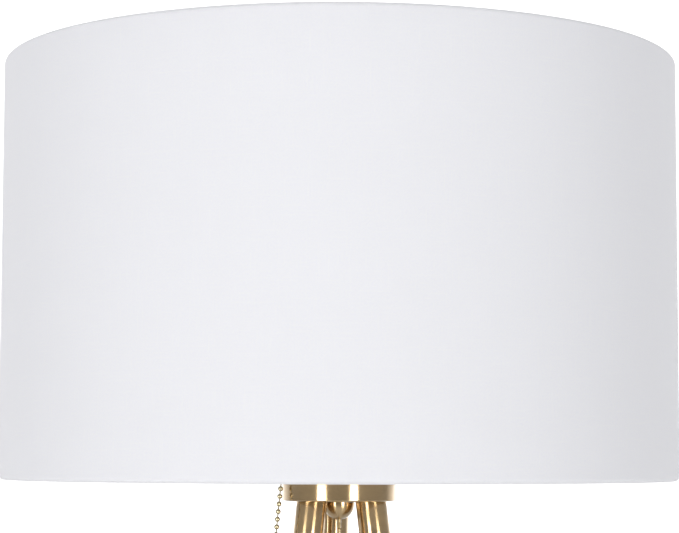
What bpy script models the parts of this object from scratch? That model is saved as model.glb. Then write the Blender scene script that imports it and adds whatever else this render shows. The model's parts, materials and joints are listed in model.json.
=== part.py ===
"""Tripod floor lamp: antique brass legs and hub, pull-chain lamp holder, harp and white drum shade.

Metres, +Z up. The origin is on the floor, on the lamp's axis. The rear leg points to +Y.
The lamp comes apart as the real one does: three two-piece legs bolted through a hub disc, a threaded
nipple that clamps dome, disc, spacer, harp saddle and lamp holder together, a bulb, a harp with a
shade on it, and a flat twin flex that leaves the dome and hangs between the legs to the floor.
"""

import math

import bmesh
import bpy
from mathutils import Matrix, Vector

# Fits
GAP = 0.0003  # between pieces that touch
SLIDE_GAP = 0.0004  # around pieces that turn or slide

# Overall sizes
HUB_UNDERSIDE = 1.2675  # height of the disc's lower face above the floor
LEG_FLOOR_RADIUS = 0.1895  # lamp axis to where a leg's centre line meets the floor
SHADE_RADIUS = 0.203
SHADE_HEIGHT = 0.250
SHADE_OVER_HUB = 0.0125  # shade's lower edge above the disc's underside

# Hub disc
HUB_RADIUS = 0.0346
HUB_THICKNESS = 0.018
HUB_LIP_HEIGHT = 0.0006
HUB_LIP_WIDTH = 0.0012
HUB_EDGE = 0.0005

# Legs
LEG_NAMES = {"rear": 90.0, "left": 210.0, "right": 330.0}  # azimuths in degrees
LEG_HUB_RADIUS = 0.0205  # lamp axis to leg centre line at the disc's underside
LEG_RADIUS = 0.0094
LEG_NECK_RADIUS = LEG_RADIUS - 0.0002
LEG_NECK_LENGTH = 0.025
LEG_TIP_RADIUS = 0.0070
LEG_WALL = 0.0012
LEG_PLUG_LENGTH = 0.022  # solid end that the stud screws into
POCKET_DEPTH = 0.0020
SPOT_FACE_DEPTH = 0.0022
SPOT_FACE_CLEARANCE = 0.0006
COUPLER_RING = 0.004
COUPLER_PROUD = 0.0004
COUPLER_SPIGOT = 0.024
STUD_RADIUS = 0.0038
STUD_IN_LEG = 0.016
NUT_FLATS = 0.013
NUT_HEIGHT = 0.0075
NUT_ROOF = 0.0018
NUT_CHAMFER = 0.0011
FOOT_HEIGHT = 0.014
FOOT_RADIUS = 0.0084
FOOT_SPIGOT = 0.016

# Dome, nipple and cord bushing under the disc
DOME_RADIUS = LEG_HUB_RADIUS - LEG_RADIUS - 0.0015  # just clears the legs
DOME_HEIGHT = 0.0110
DOME_RIM = 0.0008
DOME_THREAD_DEPTH = 0.006
NIPPLE_RADIUS = 0.0048
NIPPLE_BORE = 0.0032
NIPPLE_IN_HOLDER = 0.007
BUSHING_RADIUS = 0.0014
BUSHING_WIDENING = 1.8  # an oval collar for a flat cord
BUSHING_LENGTH = 0.0050

# Lamp holder
NECK_HEIGHT = 0.006
NECK_RADIUS = 0.0085
NECK_WAIST = 0.0015
NECK_FLANGE = 0.0012
SADDLE_THICKNESS = 0.0016
SADDLE_WIDTH = 0.013
HOLDER_RADIUS = 0.0163
HOLDER_WALL = 0.0006
HOLDER_CAP_HEIGHT = 0.024
HOLDER_CAP_OVERLAP = 0.006
HOLDER_SHELL_HEIGHT = 0.050
INSULATOR_WALL = 0.0006
SWITCH_HEIGHT = 0.024
SWITCH_RADIUS = HOLDER_RADIUS - 0.0015
LEAD_POCKET = 0.004
SCREW_SHELL_RADIUS = 0.0144
SCREW_SHELL_WALL = 0.0006
SCREW_SHELL_HEIGHT = 0.022
TONGUE_RADIUS = 0.0042
TONGUE_HEIGHT = 0.0015

# Bulb with a 26 mm screw cap
BULB_CAP_RADIUS = 0.0132
BULB_THREAD_PITCH = 0.00363
BULB_CAP_LENGTH = 0.025
BULB_TIP_RADIUS = 0.0045
BULB_TIP_HEIGHT = 0.0022
BULB_HOUSING_LENGTH = 0.027
BULB_HOUSING_TOP_RADIUS = 0.0225
BULB_RADIUS = 0.030
BULB_GLOBE_LENGTH = 0.055
BULB_GLOBE_WALL = 0.0015

# Pull chain
ARM_AZIMUTH = 197.0
ARM_REACH = 0.0340  # lamp axis to the bell mouth's axis
ARM_RADIUS = 0.0032
ARM_HOLE_RADIUS = 0.0038
ARM_IN_SWITCH = 0.004  # depth of the arm's end in the switch body
BELL_RADIUS = 0.0048
BELL_BORE = 0.0032
BELL_LENGTH = 0.011
BELL_ROOF = 0.002
BEAD_RADIUS = 0.0016
BEAD_PITCH = 0.0045
CHAIN_NECK_RADIUS = 0.0006
CHAIN_HEAD_RADIUS = 0.0019
CHAIN_HEAD_LENGTH = 0.006
PENDANT_RADIUS = 0.0080
PENDANT_HEIGHT = 0.022
PENDANT_DROP = 0.215  # disc's underside to the pendant's widest place
PENDANT_LEAN = 160.0  # azimuth from the left leg's centre line to the pendant that rests on it

# Harp, shade frame and finial
HARP_HEIGHT = 0.225  # saddle to the seat of the shade
HARP_POST_SPACING = 0.029
HARP_POST_HEIGHT = 0.016
HARP_WIRE_RADIUS = 0.0019
HARP_BULGE = 0.058
HARP_SLEEVE_LENGTH = 0.016
HARP_SLEEVE_WALL = 0.0009
HARP_BOSS_RADIUS = 0.0055
HARP_BOSS_HEIGHT = 0.005
HARP_STUD_RADIUS = 0.0030
HARP_STUD_LENGTH = 0.0100
SHADE_WALL = 0.0006
LINER_WALL = 0.0005
RING_WIRE_RADIUS = 0.0019
SPIDER_AZIMUTHS = (60.0, 180.0, 300.0)
SPIDER_ARM_RADIUS = 0.0018
SPIDER_WASHER_RADIUS = 0.014
SPIDER_WASHER_HEIGHT = 0.002
FINIAL_BASE_RADIUS = 0.0068
FINIAL_BASE_HEIGHT = 0.0045
FINIAL_KNOB_RADIUS = 0.0105
FINIAL_KNOB_HEIGHT = 0.024
FINIAL_NECK_RADIUS = 0.0048

# Flat twin flex, 4.8 mm by 2.4 mm, modelled round at its mean thickness
CORD_RADIUS = 0.0016
CORD_PLUMB_END = 0.13  # height where the cord starts to bend
CORD_PLUMB_POINTS = 9
CORD_BEND_ROUTE = (
    (-0.0005, 0.0, 0.080), (-0.0035, 0.0, 0.048), (-0.0120, 0.0, 0.020), (-0.0260, 0.0, 0.0050),
    (-0.0400, 0.0005, 0.0020), (-0.0530, 0.0050, 0.0020), (-0.0640, 0.0150, 0.0020),
    (-0.0700, 0.0300, 0.0020), (-0.0708, 0.0480, 0.0020), (-0.0702, 0.0660, 0.0021),
    (-0.0692, 0.0850, 0.0022),
)
CORD_TAIL_ROUTE = (
    (-0.0006, 0.0800, 0.0080), (0.0000, 0.0700, 0.0070), (0.0030, 0.0600, 0.0050),
    (0.0100, 0.0535, 0.0030), (0.0200, 0.0505, 0.0025), (0.0300, 0.0500, 0.0040),
    (0.0380, 0.0500, 0.0060), (0.0450, 0.0500, 0.0065),
)
CORD_STEP = 0.0075  # spacing of the tube's points
CORD_STRAIGHT_STEP = 0.05  # and along the plumb stretch
PLUMB = 1e-6  # less sideways run than this counts as plumb
COIL_CENTRE = (-0.035, 0.085)
COIL_INNER_RADIUS = 0.0217
COIL_OUTER_RADIUS = 0.0323
COIL_BOTTOM = 0.0012
COIL_HEIGHT = 0.0101
TIE_WIDTH = 0.005
TIE_THICKNESS = 0.0006
TIE_GAP = 0.0006  # leaves room for the coil's curve across the tie's width
PLUG_LENGTH = 0.030
PLUG_WIDTH = 0.022
PLUG_HEIGHT = 0.013
BLADE_SPACING = 0.0127
BLADE_LENGTH = 0.017
BLADE_WIDTH = 0.0063
BLADE_THICKNESS = 0.0015

# Roundness
FINE = 48
RING = FINE // 2  # corners in line with the drum's
MEDIUM = 16
COARSE = 12

# Heights and lengths that follow from the sizes above
SHADE_BOTTOM = HUB_UNDERSIDE + SHADE_OVER_HUB
SHADE_TOP = SHADE_BOTTOM + SHADE_HEIGHT
HUB_TOP = HUB_UNDERSIDE + HUB_THICKNESS
DOME_BOTTOM = HUB_UNDERSIDE - GAP - DOME_HEIGHT
CORD_TOP = DOME_BOTTOM - BUSHING_LENGTH - 2 * GAP
SADDLE_BOTTOM = HUB_TOP + GAP + NECK_HEIGHT + GAP
SADDLE_TOP = SADDLE_BOTTOM + SADDLE_THICKNESS
HOLDER_BOTTOM = SADDLE_TOP + GAP
HOLDER_CAP_TOP = HOLDER_BOTTOM + HOLDER_CAP_HEIGHT
SHELL_BOTTOM = HOLDER_CAP_TOP - HOLDER_CAP_OVERLAP
SHELL_TOP = SHELL_BOTTOM + HOLDER_SHELL_HEIGHT
SWITCH_BOTTOM = SHELL_BOTTOM + GAP
SWITCH_TOP = SWITCH_BOTTOM + SWITCH_HEIGHT
ARM_HEIGHT = SWITCH_BOTTOM + SWITCH_HEIGHT / 2
BULB_BOTTOM = SWITCH_TOP + GAP + TONGUE_HEIGHT + GAP
HARP_SEAT = SADDLE_TOP + HARP_HEIGHT
SPIDER_HEIGHT = HARP_SEAT + GAP + SPIDER_WASHER_HEIGHT / 2
FINIAL_BOTTOM = HARP_SEAT + GAP + SPIDER_WASHER_HEIGHT + GAP
RING_RADIUS = SHADE_RADIUS - SHADE_WALL - GAP - LINER_WALL - GAP - RING_WIRE_RADIUS
LEG_SPLAY = math.atan((LEG_FLOOR_RADIUS - LEG_HUB_RADIUS) / HUB_UNDERSIDE)
LEG_RUN = HUB_UNDERSIDE / math.cos(LEG_SPLAY)
LEG_TOP = POCKET_DEPTH - GAP
LEG_MIDDLE = LEG_RUN / 2
SPOT_FACE = HUB_THICKNESS / math.cos(LEG_SPLAY) - SPOT_FACE_DEPTH

PARTS = "tripod_floor_lamp"
CUTTERS = "cutters"


def clear_scene():
    """Removes what the startup scene holds and makes the two collections."""
    for obj in list(bpy.data.objects):
        bpy.data.objects.remove(obj)
    for name in (PARTS, CUTTERS):
        bpy.context.scene.collection.children.link(bpy.data.collections.new(name))


def material(name, colour, metallic, roughness, transmission=0.0):
    """A Principled material."""
    made = bpy.data.materials.new(name)
    made.use_nodes = True
    shader = made.node_tree.nodes["Principled BSDF"]
    shader.inputs["Base Color"].default_value = (*colour, 1.0)
    shader.inputs["Metallic"].default_value = metallic
    shader.inputs["Roughness"].default_value = roughness
    shader.inputs["Transmission Weight"].default_value = transmission
    return made


def make_materials():
    """One material for each finish."""
    return {
        "brass": material("antique_brass", (0.30, 0.21, 0.11), 1.0, 0.28),
        "bright_brass": material("bright_brass", (0.72, 0.52, 0.24), 1.0, 0.22),
        "steel": material("zinc_steel", (0.62, 0.62, 0.60), 1.0, 0.35),
        "linen": material("white_linen", (0.86, 0.86, 0.88), 0.0, 0.9),
        "liner": material("styrene_liner", (0.90, 0.90, 0.90), 0.0, 0.5),
        "white_wire": material("white_wire", (0.85, 0.85, 0.84), 0.0, 0.4),
        "glass": material("frosted_glass", (0.95, 0.95, 0.94), 0.0, 0.3),
        "housing": material("bulb_housing", (0.88, 0.88, 0.87), 0.0, 0.4),
        "card": material("insulating_card", (0.62, 0.55, 0.42), 0.0, 0.9),
        "phenolic": material("phenolic", (0.04, 0.035, 0.03), 0.0, 0.35),
        "rubber": material("rubber", (0.03, 0.03, 0.03), 0.0, 0.8),
        "flex": material("gold_flex", (0.75, 0.62, 0.36), 0.0, 0.3, 0.3),
        "tie": material("cord_tie", (0.05, 0.05, 0.05), 0.0, 0.6),
    }


def finish(obj, finish_material, collection=PARTS, parent=None):
    """Moves an object into a collection, under a parent, and gives it its material."""
    for user in list(obj.users_collection):
        user.objects.unlink(obj)
    bpy.data.collections[collection].objects.link(obj)
    if finish_material is not None:
        obj.data.materials.clear()
        obj.data.materials.append(finish_material)
    obj.parent = parent
    return obj


def arc(centre_r, centre_z, radius_r, radius_z, start, end, steps):
    """Points (r, z) along an elliptical arc, with its angles in degrees from +r towards +z."""
    angles = [math.radians(start + (end - start) * i / steps) for i in range(steps + 1)]
    return [(centre_r + radius_r * math.cos(a), centre_z + radius_z * math.sin(a)) for a in angles]


def turned(name, profile, finish_material, steps=MEDIUM, hollow=False, location=(0, 0, 0), **placing):
    """A turned solid. Its (r, z) profile runs down the outer side, and a hollow one closes on itself."""
    mesh = bpy.data.meshes.new(name)
    edges = [(i, i + 1) for i in range(len(profile) - 1)]
    if hollow:
        edges.append((len(profile) - 1, 0))
    mesh.from_pydata([(r, 0.0, z) for r, z in profile], edges, [])
    obj = bpy.data.objects.new(name, mesh)
    finish(obj, finish_material, **placing)
    obj.location = location
    screw = obj.modifiers.new("Turning", "SCREW")
    screw.axis = "Z"
    screw.steps = screw.render_steps = steps
    screw.use_merge_vertices = True
    screw.merge_threshold = 0.00001
    screw.use_smooth_shade = True
    return obj


def tube_profile(outer, inner, low, high):
    """The closed profile of a plain tube."""
    return [(outer, high), (outer, low), (inner, low), (inner, high)]


def rod_profile(radius, low, high):
    """The open profile of a plain rod."""
    return [(0.0, high), (radius, high), (radius, low), (0.0, low)]


def box(name, size, centre, finish_material, **placing):
    """A box, with its size applied to its mesh."""
    bpy.ops.mesh.primitive_cube_add(size=1.0, location=centre)
    obj = bpy.context.active_object
    obj.name = obj.data.name = name
    obj.data.transform(Matrix.Diagonal((*size, 1.0)))
    return finish(obj, finish_material, **placing)


def curve_points(route, step, straight_step):
    """Points along a smooth curve through the route, closer together where it isn't plumb."""
    ends = [route[0], *route, route[-1]]
    points = []
    for before, start, end, after in zip(ends, ends[1:], ends[2:], ends[3:]):
        p0, p1, p2, p3 = (Vector(p) for p in (before, start, end, after))
        plumb = (p2 - p0).xy.length < PLUMB and (p3 - p1).xy.length < PLUMB
        pieces = max(1, round((p2 - p1).length / (straight_step if plumb else step)))
        square = 2 * p0 - 5 * p1 + 4 * p2 - p3
        cube = 3 * p1 - p0 - 3 * p2 + p3
        for i in range(pieces):
            t = i / pieces
            points.append((2 * p1 + (p2 - p0) * t + square * t**2 + cube * t**3) / 2)
    points.append(Vector(route[-1]))
    return points


def wire(name, points, radius, finish_material, cyclic=False, resolution=2, **placing):
    """A round wire or tube along the points, with filled caps."""
    curve = bpy.data.curves.new(name, "CURVE")
    curve.dimensions = "3D"
    curve.bevel_depth = radius
    curve.bevel_resolution = resolution
    curve.use_fill_caps = not cyclic
    spline = curve.splines.new("POLY")
    spline.points.add(len(points) - 1)
    for point, place in zip(spline.points, points):
        point.co = (*place, 1.0)
    spline.use_cyclic_u = cyclic
    spline.use_smooth = True
    return finish(bpy.data.objects.new(name, curve), finish_material, **placing)


def as_mesh(obj):
    """The same object as a closed mesh, so that it can be cut or joined."""
    bpy.context.view_layer.update()
    graph = bpy.context.evaluated_depsgraph_get()
    mesh = bpy.data.meshes.new_from_object(obj.evaluated_get(graph))
    shape = bmesh.new()
    shape.from_mesh(mesh)
    bmesh.ops.remove_doubles(shape, verts=shape.verts, dist=0.00001)
    shape.to_mesh(mesh)
    shape.free()
    made = bpy.data.objects.new(obj.name + "_mesh", mesh)
    made.matrix_world = obj.matrix_world
    name, collection = obj.name, obj.users_collection[0].name
    finish(made, obj.active_material, collection=collection)
    bpy.data.objects.remove(obj)
    made.name = mesh.name = name
    return made


def helper(obj):
    """Marks an object as a cutter or an added shape, which isn't a part itself."""
    obj.hide_render = True
    obj.display_type = "WIRE"
    return obj


def boolean(obj, other, operation="DIFFERENCE"):
    """Cuts the other object out of this one, or joins it on."""
    modifier = obj.modifiers.new(other.name, "BOOLEAN")
    modifier.operation = operation
    modifier.object = helper(other)
    return obj


def empty(name, location, rotation=(0, 0, 0)):
    """A frame that pieces are placed in."""
    obj = bpy.data.objects.new(name, None)
    finish(obj, None)
    obj.location = location
    obj.rotation_euler = rotation
    return obj


def around(radius, azimuth, height=0.0):
    """The point at this radius, azimuth in degrees and height."""
    angle = math.radians(azimuth)
    return Vector((radius * math.cos(angle), radius * math.sin(angle), height))


def leg_frame(name, azimuth, collection=PARTS):
    """A frame on a leg's centre line at the disc's underside, whose -Z runs down the leg."""
    top = around(LEG_HUB_RADIUS, azimuth, HUB_UNDERSIDE)
    frame = empty(name, top, (0, -LEG_SPLAY, math.radians(azimuth)))
    return finish(frame, None, collection=collection)


def make_hub_disc(mats):
    """The turned disc, with a pocket, a stud hole and a spot face for each leg."""
    r, low, high = HUB_RADIUS, HUB_UNDERSIDE, HUB_TOP
    profile = [
        (r - HUB_EDGE, high),
        (r, high - HUB_EDGE),
        (r, low + HUB_LIP_HEIGHT + HUB_EDGE),
        (r - HUB_EDGE, low + HUB_LIP_HEIGHT),
        (r - HUB_LIP_WIDTH, low),
        (NIPPLE_RADIUS + GAP, low),
        (NIPPLE_RADIUS + GAP, high),
    ]
    disc = turned("hub_disc", profile, mats["brass"], FINE, hollow=True)
    beyond = HUB_THICKNESS
    spot_radius = NUT_FLATS / math.sqrt(3) + SPOT_FACE_CLEARANCE
    bore = [
        (0.0, SPOT_FACE + beyond),
        (spot_radius, SPOT_FACE + beyond),
        (spot_radius, SPOT_FACE),
        (STUD_RADIUS + GAP, SPOT_FACE),
        (STUD_RADIUS + GAP, POCKET_DEPTH),
        (LEG_NECK_RADIUS + GAP, POCKET_DEPTH),
        (LEG_NECK_RADIUS + GAP, -beyond),
        (0.0, -beyond),
    ]
    for name, azimuth in LEG_NAMES.items():
        frame = leg_frame(f"leg_{name}_bore_frame", azimuth, CUTTERS)
        cutter = turned(f"leg_{name}_bore", bore, None, MEDIUM, collection=CUTTERS, parent=frame)
        boolean(disc, cutter)


def make_leg(name, azimuth, mats, floor):
    """A stud and cap nut, two tubes with a coupler between them, and a rubber foot cut flat by the floor."""
    frame = leg_frame(f"leg_{name}_frame", azimuth)
    in_leg = {"parent": frame}
    bore = LEG_RADIUS - LEG_WALL
    upper_end = -LEG_MIDDLE + COUPLER_RING / 2 + GAP
    upper = [
        (LEG_NECK_RADIUS, LEG_TOP),
        (LEG_RADIUS, LEG_TOP - LEG_NECK_LENGTH),
        (LEG_RADIUS, upper_end),
        (bore, upper_end),
        (bore, LEG_TOP - LEG_PLUG_LENGTH),
        (STUD_RADIUS + GAP, LEG_TOP - LEG_PLUG_LENGTH),
        (STUD_RADIUS + GAP, LEG_TOP),
    ]
    turned(f"leg_{name}_upper", upper, mats["brass"], MEDIUM, hollow=True, **in_leg)
    ring_high, ring_low = -LEG_MIDDLE + COUPLER_RING / 2, -LEG_MIDDLE - COUPLER_RING / 2
    spigot, ring = bore - GAP, LEG_RADIUS + COUPLER_PROUD
    coupler = [
        (0.0, ring_high + COUPLER_SPIGOT),
        (spigot, ring_high + COUPLER_SPIGOT),
        (spigot, ring_high),
        (ring, ring_high),
        (ring, ring_low),
        (spigot, ring_low),
        (spigot, ring_low - COUPLER_SPIGOT),
        (0.0, ring_low - COUPLER_SPIGOT),
    ]
    turned(f"leg_{name}_coupler", coupler, mats["bright_brass"], MEDIUM, **in_leg)
    foot_top = -LEG_RUN + FOOT_HEIGHT
    lower_high, lower_low = ring_low - GAP, foot_top + GAP
    tip_bore = LEG_TIP_RADIUS - LEG_WALL
    lower = [
        (LEG_RADIUS, lower_high),
        (LEG_TIP_RADIUS, lower_low),
        (tip_bore, lower_low),
        (tip_bore, lower_low + FOOT_SPIGOT + GAP),
        (bore, lower_high - COUPLER_SPIGOT - GAP),
        (bore, lower_high),
    ]
    turned(f"leg_{name}_lower", lower, mats["brass"], MEDIUM, hollow=True, **in_leg)
    below = FOOT_RADIUS * math.tan(LEG_SPLAY) + 0.002
    foot = [
        (0.0, foot_top + FOOT_SPIGOT),
        (tip_bore - GAP, foot_top + FOOT_SPIGOT),
        (tip_bore - GAP, foot_top),
        (LEG_TIP_RADIUS + COUPLER_PROUD, foot_top),
        (FOOT_RADIUS, foot_top - FOOT_HEIGHT / 2),
        (FOOT_RADIUS, -LEG_RUN - below),
        (0.0, -LEG_RUN - below),
    ]
    boolean(turned(f"leg_{name}_foot", foot, mats["rubber"], MEDIUM, **in_leg), floor)
    stud_end = SPOT_FACE + GAP + NUT_HEIGHT - NUT_ROOF - GAP
    stud = rod_profile(STUD_RADIUS, LEG_TOP - STUD_IN_LEG, stud_end)
    turned(f"leg_{name}_stud", stud, mats["steel"], COARSE, **in_leg)
    nut = cap_nut(f"leg_{name}_nut", SPOT_FACE + GAP, mats, frame)
    hole = rod_profile(STUD_RADIUS + GAP, SPOT_FACE - GAP, stud_end + GAP)
    boolean(nut, turned(f"leg_{name}_nut_thread", hole, None, COARSE, collection=CUTTERS, parent=frame))


def cap_nut(name, low, mats, frame):
    """A hexagonal nut with a chamfered top, standing on a height of its leg's frame."""
    across = NUT_FLATS / math.sqrt(3)
    profile = [
        (0.0, low + NUT_HEIGHT),
        (across - NUT_CHAMFER, low + NUT_HEIGHT),
        (across, low + NUT_HEIGHT - NUT_CHAMFER),
        (across, low),
        (0.0, low),
    ]
    return turned(name, profile, mats["brass"], 6, parent=frame)


def make_centre_stack(mats):
    """The dome, cord bushing, threaded nipple and neck spacer on the lamp's axis."""
    top = HUB_UNDERSIDE - GAP
    shank = BUSHING_RADIUS * BUSHING_WIDENING + GAP
    thread_end = top - DOME_THREAD_DEPTH
    rim = top - DOME_RIM
    outside = [(DOME_RADIUS, top)] + arc(0, rim, DOME_RADIUS, rim - DOME_BOTTOM, 0, -70, 5)
    dome = outside + [
        (shank, DOME_BOTTOM),
        (shank, thread_end),
        (NIPPLE_RADIUS + GAP, thread_end),
        (NIPPLE_RADIUS + GAP, top),
    ]
    turned("hub_dome", dome, mats["brass"], MEDIUM, hollow=True)
    bushing_low = DOME_BOTTOM - BUSHING_LENGTH
    collar = rod_profile(BUSHING_RADIUS, bushing_low, thread_end - GAP * 2)
    turned("cord_bushing", collar, mats["flex"], COARSE).scale.y = BUSHING_WIDENING
    nipple_top = HOLDER_BOTTOM + NIPPLE_IN_HOLDER
    turned(
        "threaded_nipple",
        tube_profile(NIPPLE_RADIUS, NIPPLE_BORE, thread_end + GAP, nipple_top),
        mats["steel"],
        COARSE,
        hollow=True,
    )
    low, high = HUB_TOP + GAP, HUB_TOP + GAP + NECK_HEIGHT
    waist = NECK_RADIUS - NECK_WAIST
    neck = [
        (NECK_RADIUS, high),
        (NECK_RADIUS, high - NECK_FLANGE),
        (waist, (low + high) / 2),
        (NECK_RADIUS, low + NECK_FLANGE),
        (NECK_RADIUS, low),
        (NIPPLE_RADIUS + GAP, low),
        (NIPPLE_RADIUS + GAP, high),
    ]
    turned("neck_spacer", neck, mats["brass"], MEDIUM, hollow=True)
    lead = [Vector((0, 0, thread_end)), Vector((0, 0, SWITCH_BOTTOM + LEAD_POCKET - GAP * 2))]
    wire("inner_lead", lead, CORD_RADIUS, mats["flex"])


def make_holder(mats):
    """The pull-chain lamp holder: cap, shell, insulating sleeve, switch body, screw shell, tongue and arm."""
    outer, wall = HOLDER_RADIUS + GAP + HOLDER_WALL, HOLDER_WALL
    inner = outer - wall
    low, high = HOLDER_BOTTOM, HOLDER_CAP_TOP
    shoulder = high - HOLDER_CAP_OVERLAP - 0.002
    bell = arc(NECK_RADIUS, shoulder, outer - NECK_RADIUS, shoulder - low, 0, -90, 4)
    lining = arc(NECK_RADIUS, shoulder, inner - NECK_RADIUS, shoulder - low - wall, -90, 0, 4)
    hole = NIPPLE_RADIUS + GAP
    cap = [(outer, high)] + bell + [(hole, low), (hole, low + wall)] + lining + [(inner, high)]
    turned("socket_cap", cap, mats["bright_brass"], MEDIUM, hollow=True)

    arm_start = around(SWITCH_RADIUS - ARM_IN_SWITCH, ARM_AZIMUTH, ARM_HEIGHT)
    arm_line = [arm_start, around(ARM_REACH, ARM_AZIMUTH, ARM_HEIGHT)]
    shell = turned(
        "socket_shell",
        tube_profile(HOLDER_RADIUS, HOLDER_RADIUS - wall, SHELL_BOTTOM, SHELL_TOP),
        mats["bright_brass"],
        MEDIUM,
        hollow=True,
    )
    sleeve_radius = HOLDER_RADIUS - wall - GAP
    sleeve = turned(
        "socket_insulator",
        tube_profile(sleeve_radius, sleeve_radius - INSULATOR_WALL, SHELL_BOTTOM + GAP, SHELL_TOP - 0.002),
        mats["card"],
        MEDIUM,
        hollow=True,
    )
    switch_profile = [
        (0.0, SWITCH_TOP),
        (SWITCH_RADIUS, SWITCH_TOP),
        (SWITCH_RADIUS, SWITCH_BOTTOM),
        (CORD_RADIUS + GAP, SWITCH_BOTTOM),
        (CORD_RADIUS + GAP, SWITCH_BOTTOM + LEAD_POCKET),
        (0.0, SWITCH_BOTTOM + LEAD_POCKET),
    ]
    switch = turned("switch_body", switch_profile, mats["phenolic"], MEDIUM)
    for number, piece in enumerate((shell, sleeve, switch)):
        hole = as_mesh(wire(f"arm_hole_{number}", arm_line, ARM_HOLE_RADIUS, None, collection=CUTTERS))
        boolean(piece, hole)
    low = SWITCH_TOP + GAP
    screw_bore = SCREW_SHELL_RADIUS - SCREW_SHELL_WALL
    turned(
        "screw_shell",
        tube_profile(SCREW_SHELL_RADIUS, screw_bore, low, low + SCREW_SHELL_HEIGHT),
        mats["bright_brass"],
        MEDIUM,
        hollow=True,
    )
    tongue = rod_profile(TONGUE_RADIUS, low, low + TONGUE_HEIGHT)
    turned("centre_tongue", tongue, mats["bright_brass"], COARSE)
    make_pull_arm(mats)


def make_pull_arm(mats):
    """The arm that carries the chain out of the holder, with a bell mouth turned down at its end."""
    start = around(SWITCH_RADIUS - ARM_IN_SWITCH + GAP, ARM_AZIMUTH, ARM_HEIGHT)
    end = around(ARM_REACH, ARM_AZIMUTH, ARM_HEIGHT)
    arm = as_mesh(wire("pull_arm", [start, end], ARM_RADIUS, mats["bright_brass"]))
    high, low = ARM_RADIUS + 0.001, -BELL_LENGTH
    profile = [
        (0.0, high),
        (BELL_RADIUS * 0.5, high - 0.0002),
        (BELL_RADIUS * 0.85, high - 0.0014),
        (BELL_RADIUS * 0.9, low + 0.003),
        (BELL_RADIUS * 1.15, low),
        (0.0, low),
    ]
    bell = turned("pull_bell", profile, None, MEDIUM, collection=CUTTERS, location=end)
    passage = rod_profile(BELL_BORE, low - 0.001, ARM_RADIUS - BELL_ROOF)
    bore = turned("pull_bell_bore", passage, None, COARSE, collection=CUTTERS, location=end)
    boolean(arm, bell, "UNION")
    boolean(arm, bore)


def chain_line():
    """Where the chain starts, in the bell mouth, and the centre of the pendant that rests on the left leg."""
    start = around(ARM_REACH, ARM_AZIMUTH, ARM_HEIGHT - BELL_LENGTH + CHAIN_HEAD_LENGTH)
    height = HUB_UNDERSIDE - PENDANT_DROP
    leg = around(LEG_HUB_RADIUS + PENDANT_DROP * math.tan(LEG_SPLAY), LEG_NAMES["left"], height)
    touching = LEG_RADIUS / math.cos(LEG_SPLAY) + PENDANT_RADIUS + GAP
    return start, leg + around(touching, PENDANT_LEAN)


def make_pull_chain(mats):
    """The head that works the switch, the ball chain and the pendant, along one straight line."""
    start, pendant = chain_line()
    line = pendant - start
    tilt = line.normalized().to_track_quat("-Z", "Y").to_euler()
    head_frame = empty("chain_head_frame", start, tilt)
    head = [
        (0.0, 0.001),
        (CHAIN_HEAD_RADIUS * 0.6, 0.001),
        (CHAIN_HEAD_RADIUS, 0.0),
        (CHAIN_HEAD_RADIUS, -CHAIN_HEAD_LENGTH + 0.001),
        (CHAIN_HEAD_RADIUS * 0.6, -CHAIN_HEAD_LENGTH),
        (0.0, -CHAIN_HEAD_LENGTH),
    ]
    turned("chain_head", head, mats["bright_brass"], COARSE, parent=head_frame)
    swing_frame = empty("chain_frame", start, tilt)
    chain_top = -CHAIN_HEAD_LENGTH - GAP
    pendant_top = -line.length + PENDANT_HEIGHT * 0.6
    length = chain_top - pendant_top - GAP
    count = round(length / BEAD_PITCH)
    pitch = length / count
    profile = [(0.0, chain_top)]
    for i in range(count):
        high = chain_top - i * pitch
        profile += [(CHAIN_NECK_RADIUS, high), (BEAD_RADIUS, high - pitch / 2)]
    profile += [(CHAIN_NECK_RADIUS, chain_top - length), (0.0, chain_top - length)]
    turned("pull_chain", profile, mats["bright_brass"], 6, parent=swing_frame)
    low = pendant_top - PENDANT_HEIGHT
    widest = -line.length
    shape = [
        (0.0, pendant_top),
        (0.0022, pendant_top),
        (0.0026, pendant_top - 0.004),
        (PENDANT_RADIUS * 0.72, widest + 0.004),
        (PENDANT_RADIUS, widest + 0.001),
        (PENDANT_RADIUS, widest - 0.001),
        (PENDANT_RADIUS * 0.7, widest - 0.006),
        (0.0, low),
    ]
    turned("chain_pendant", shape, mats["bright_brass"], MEDIUM, parent=swing_frame)


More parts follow.
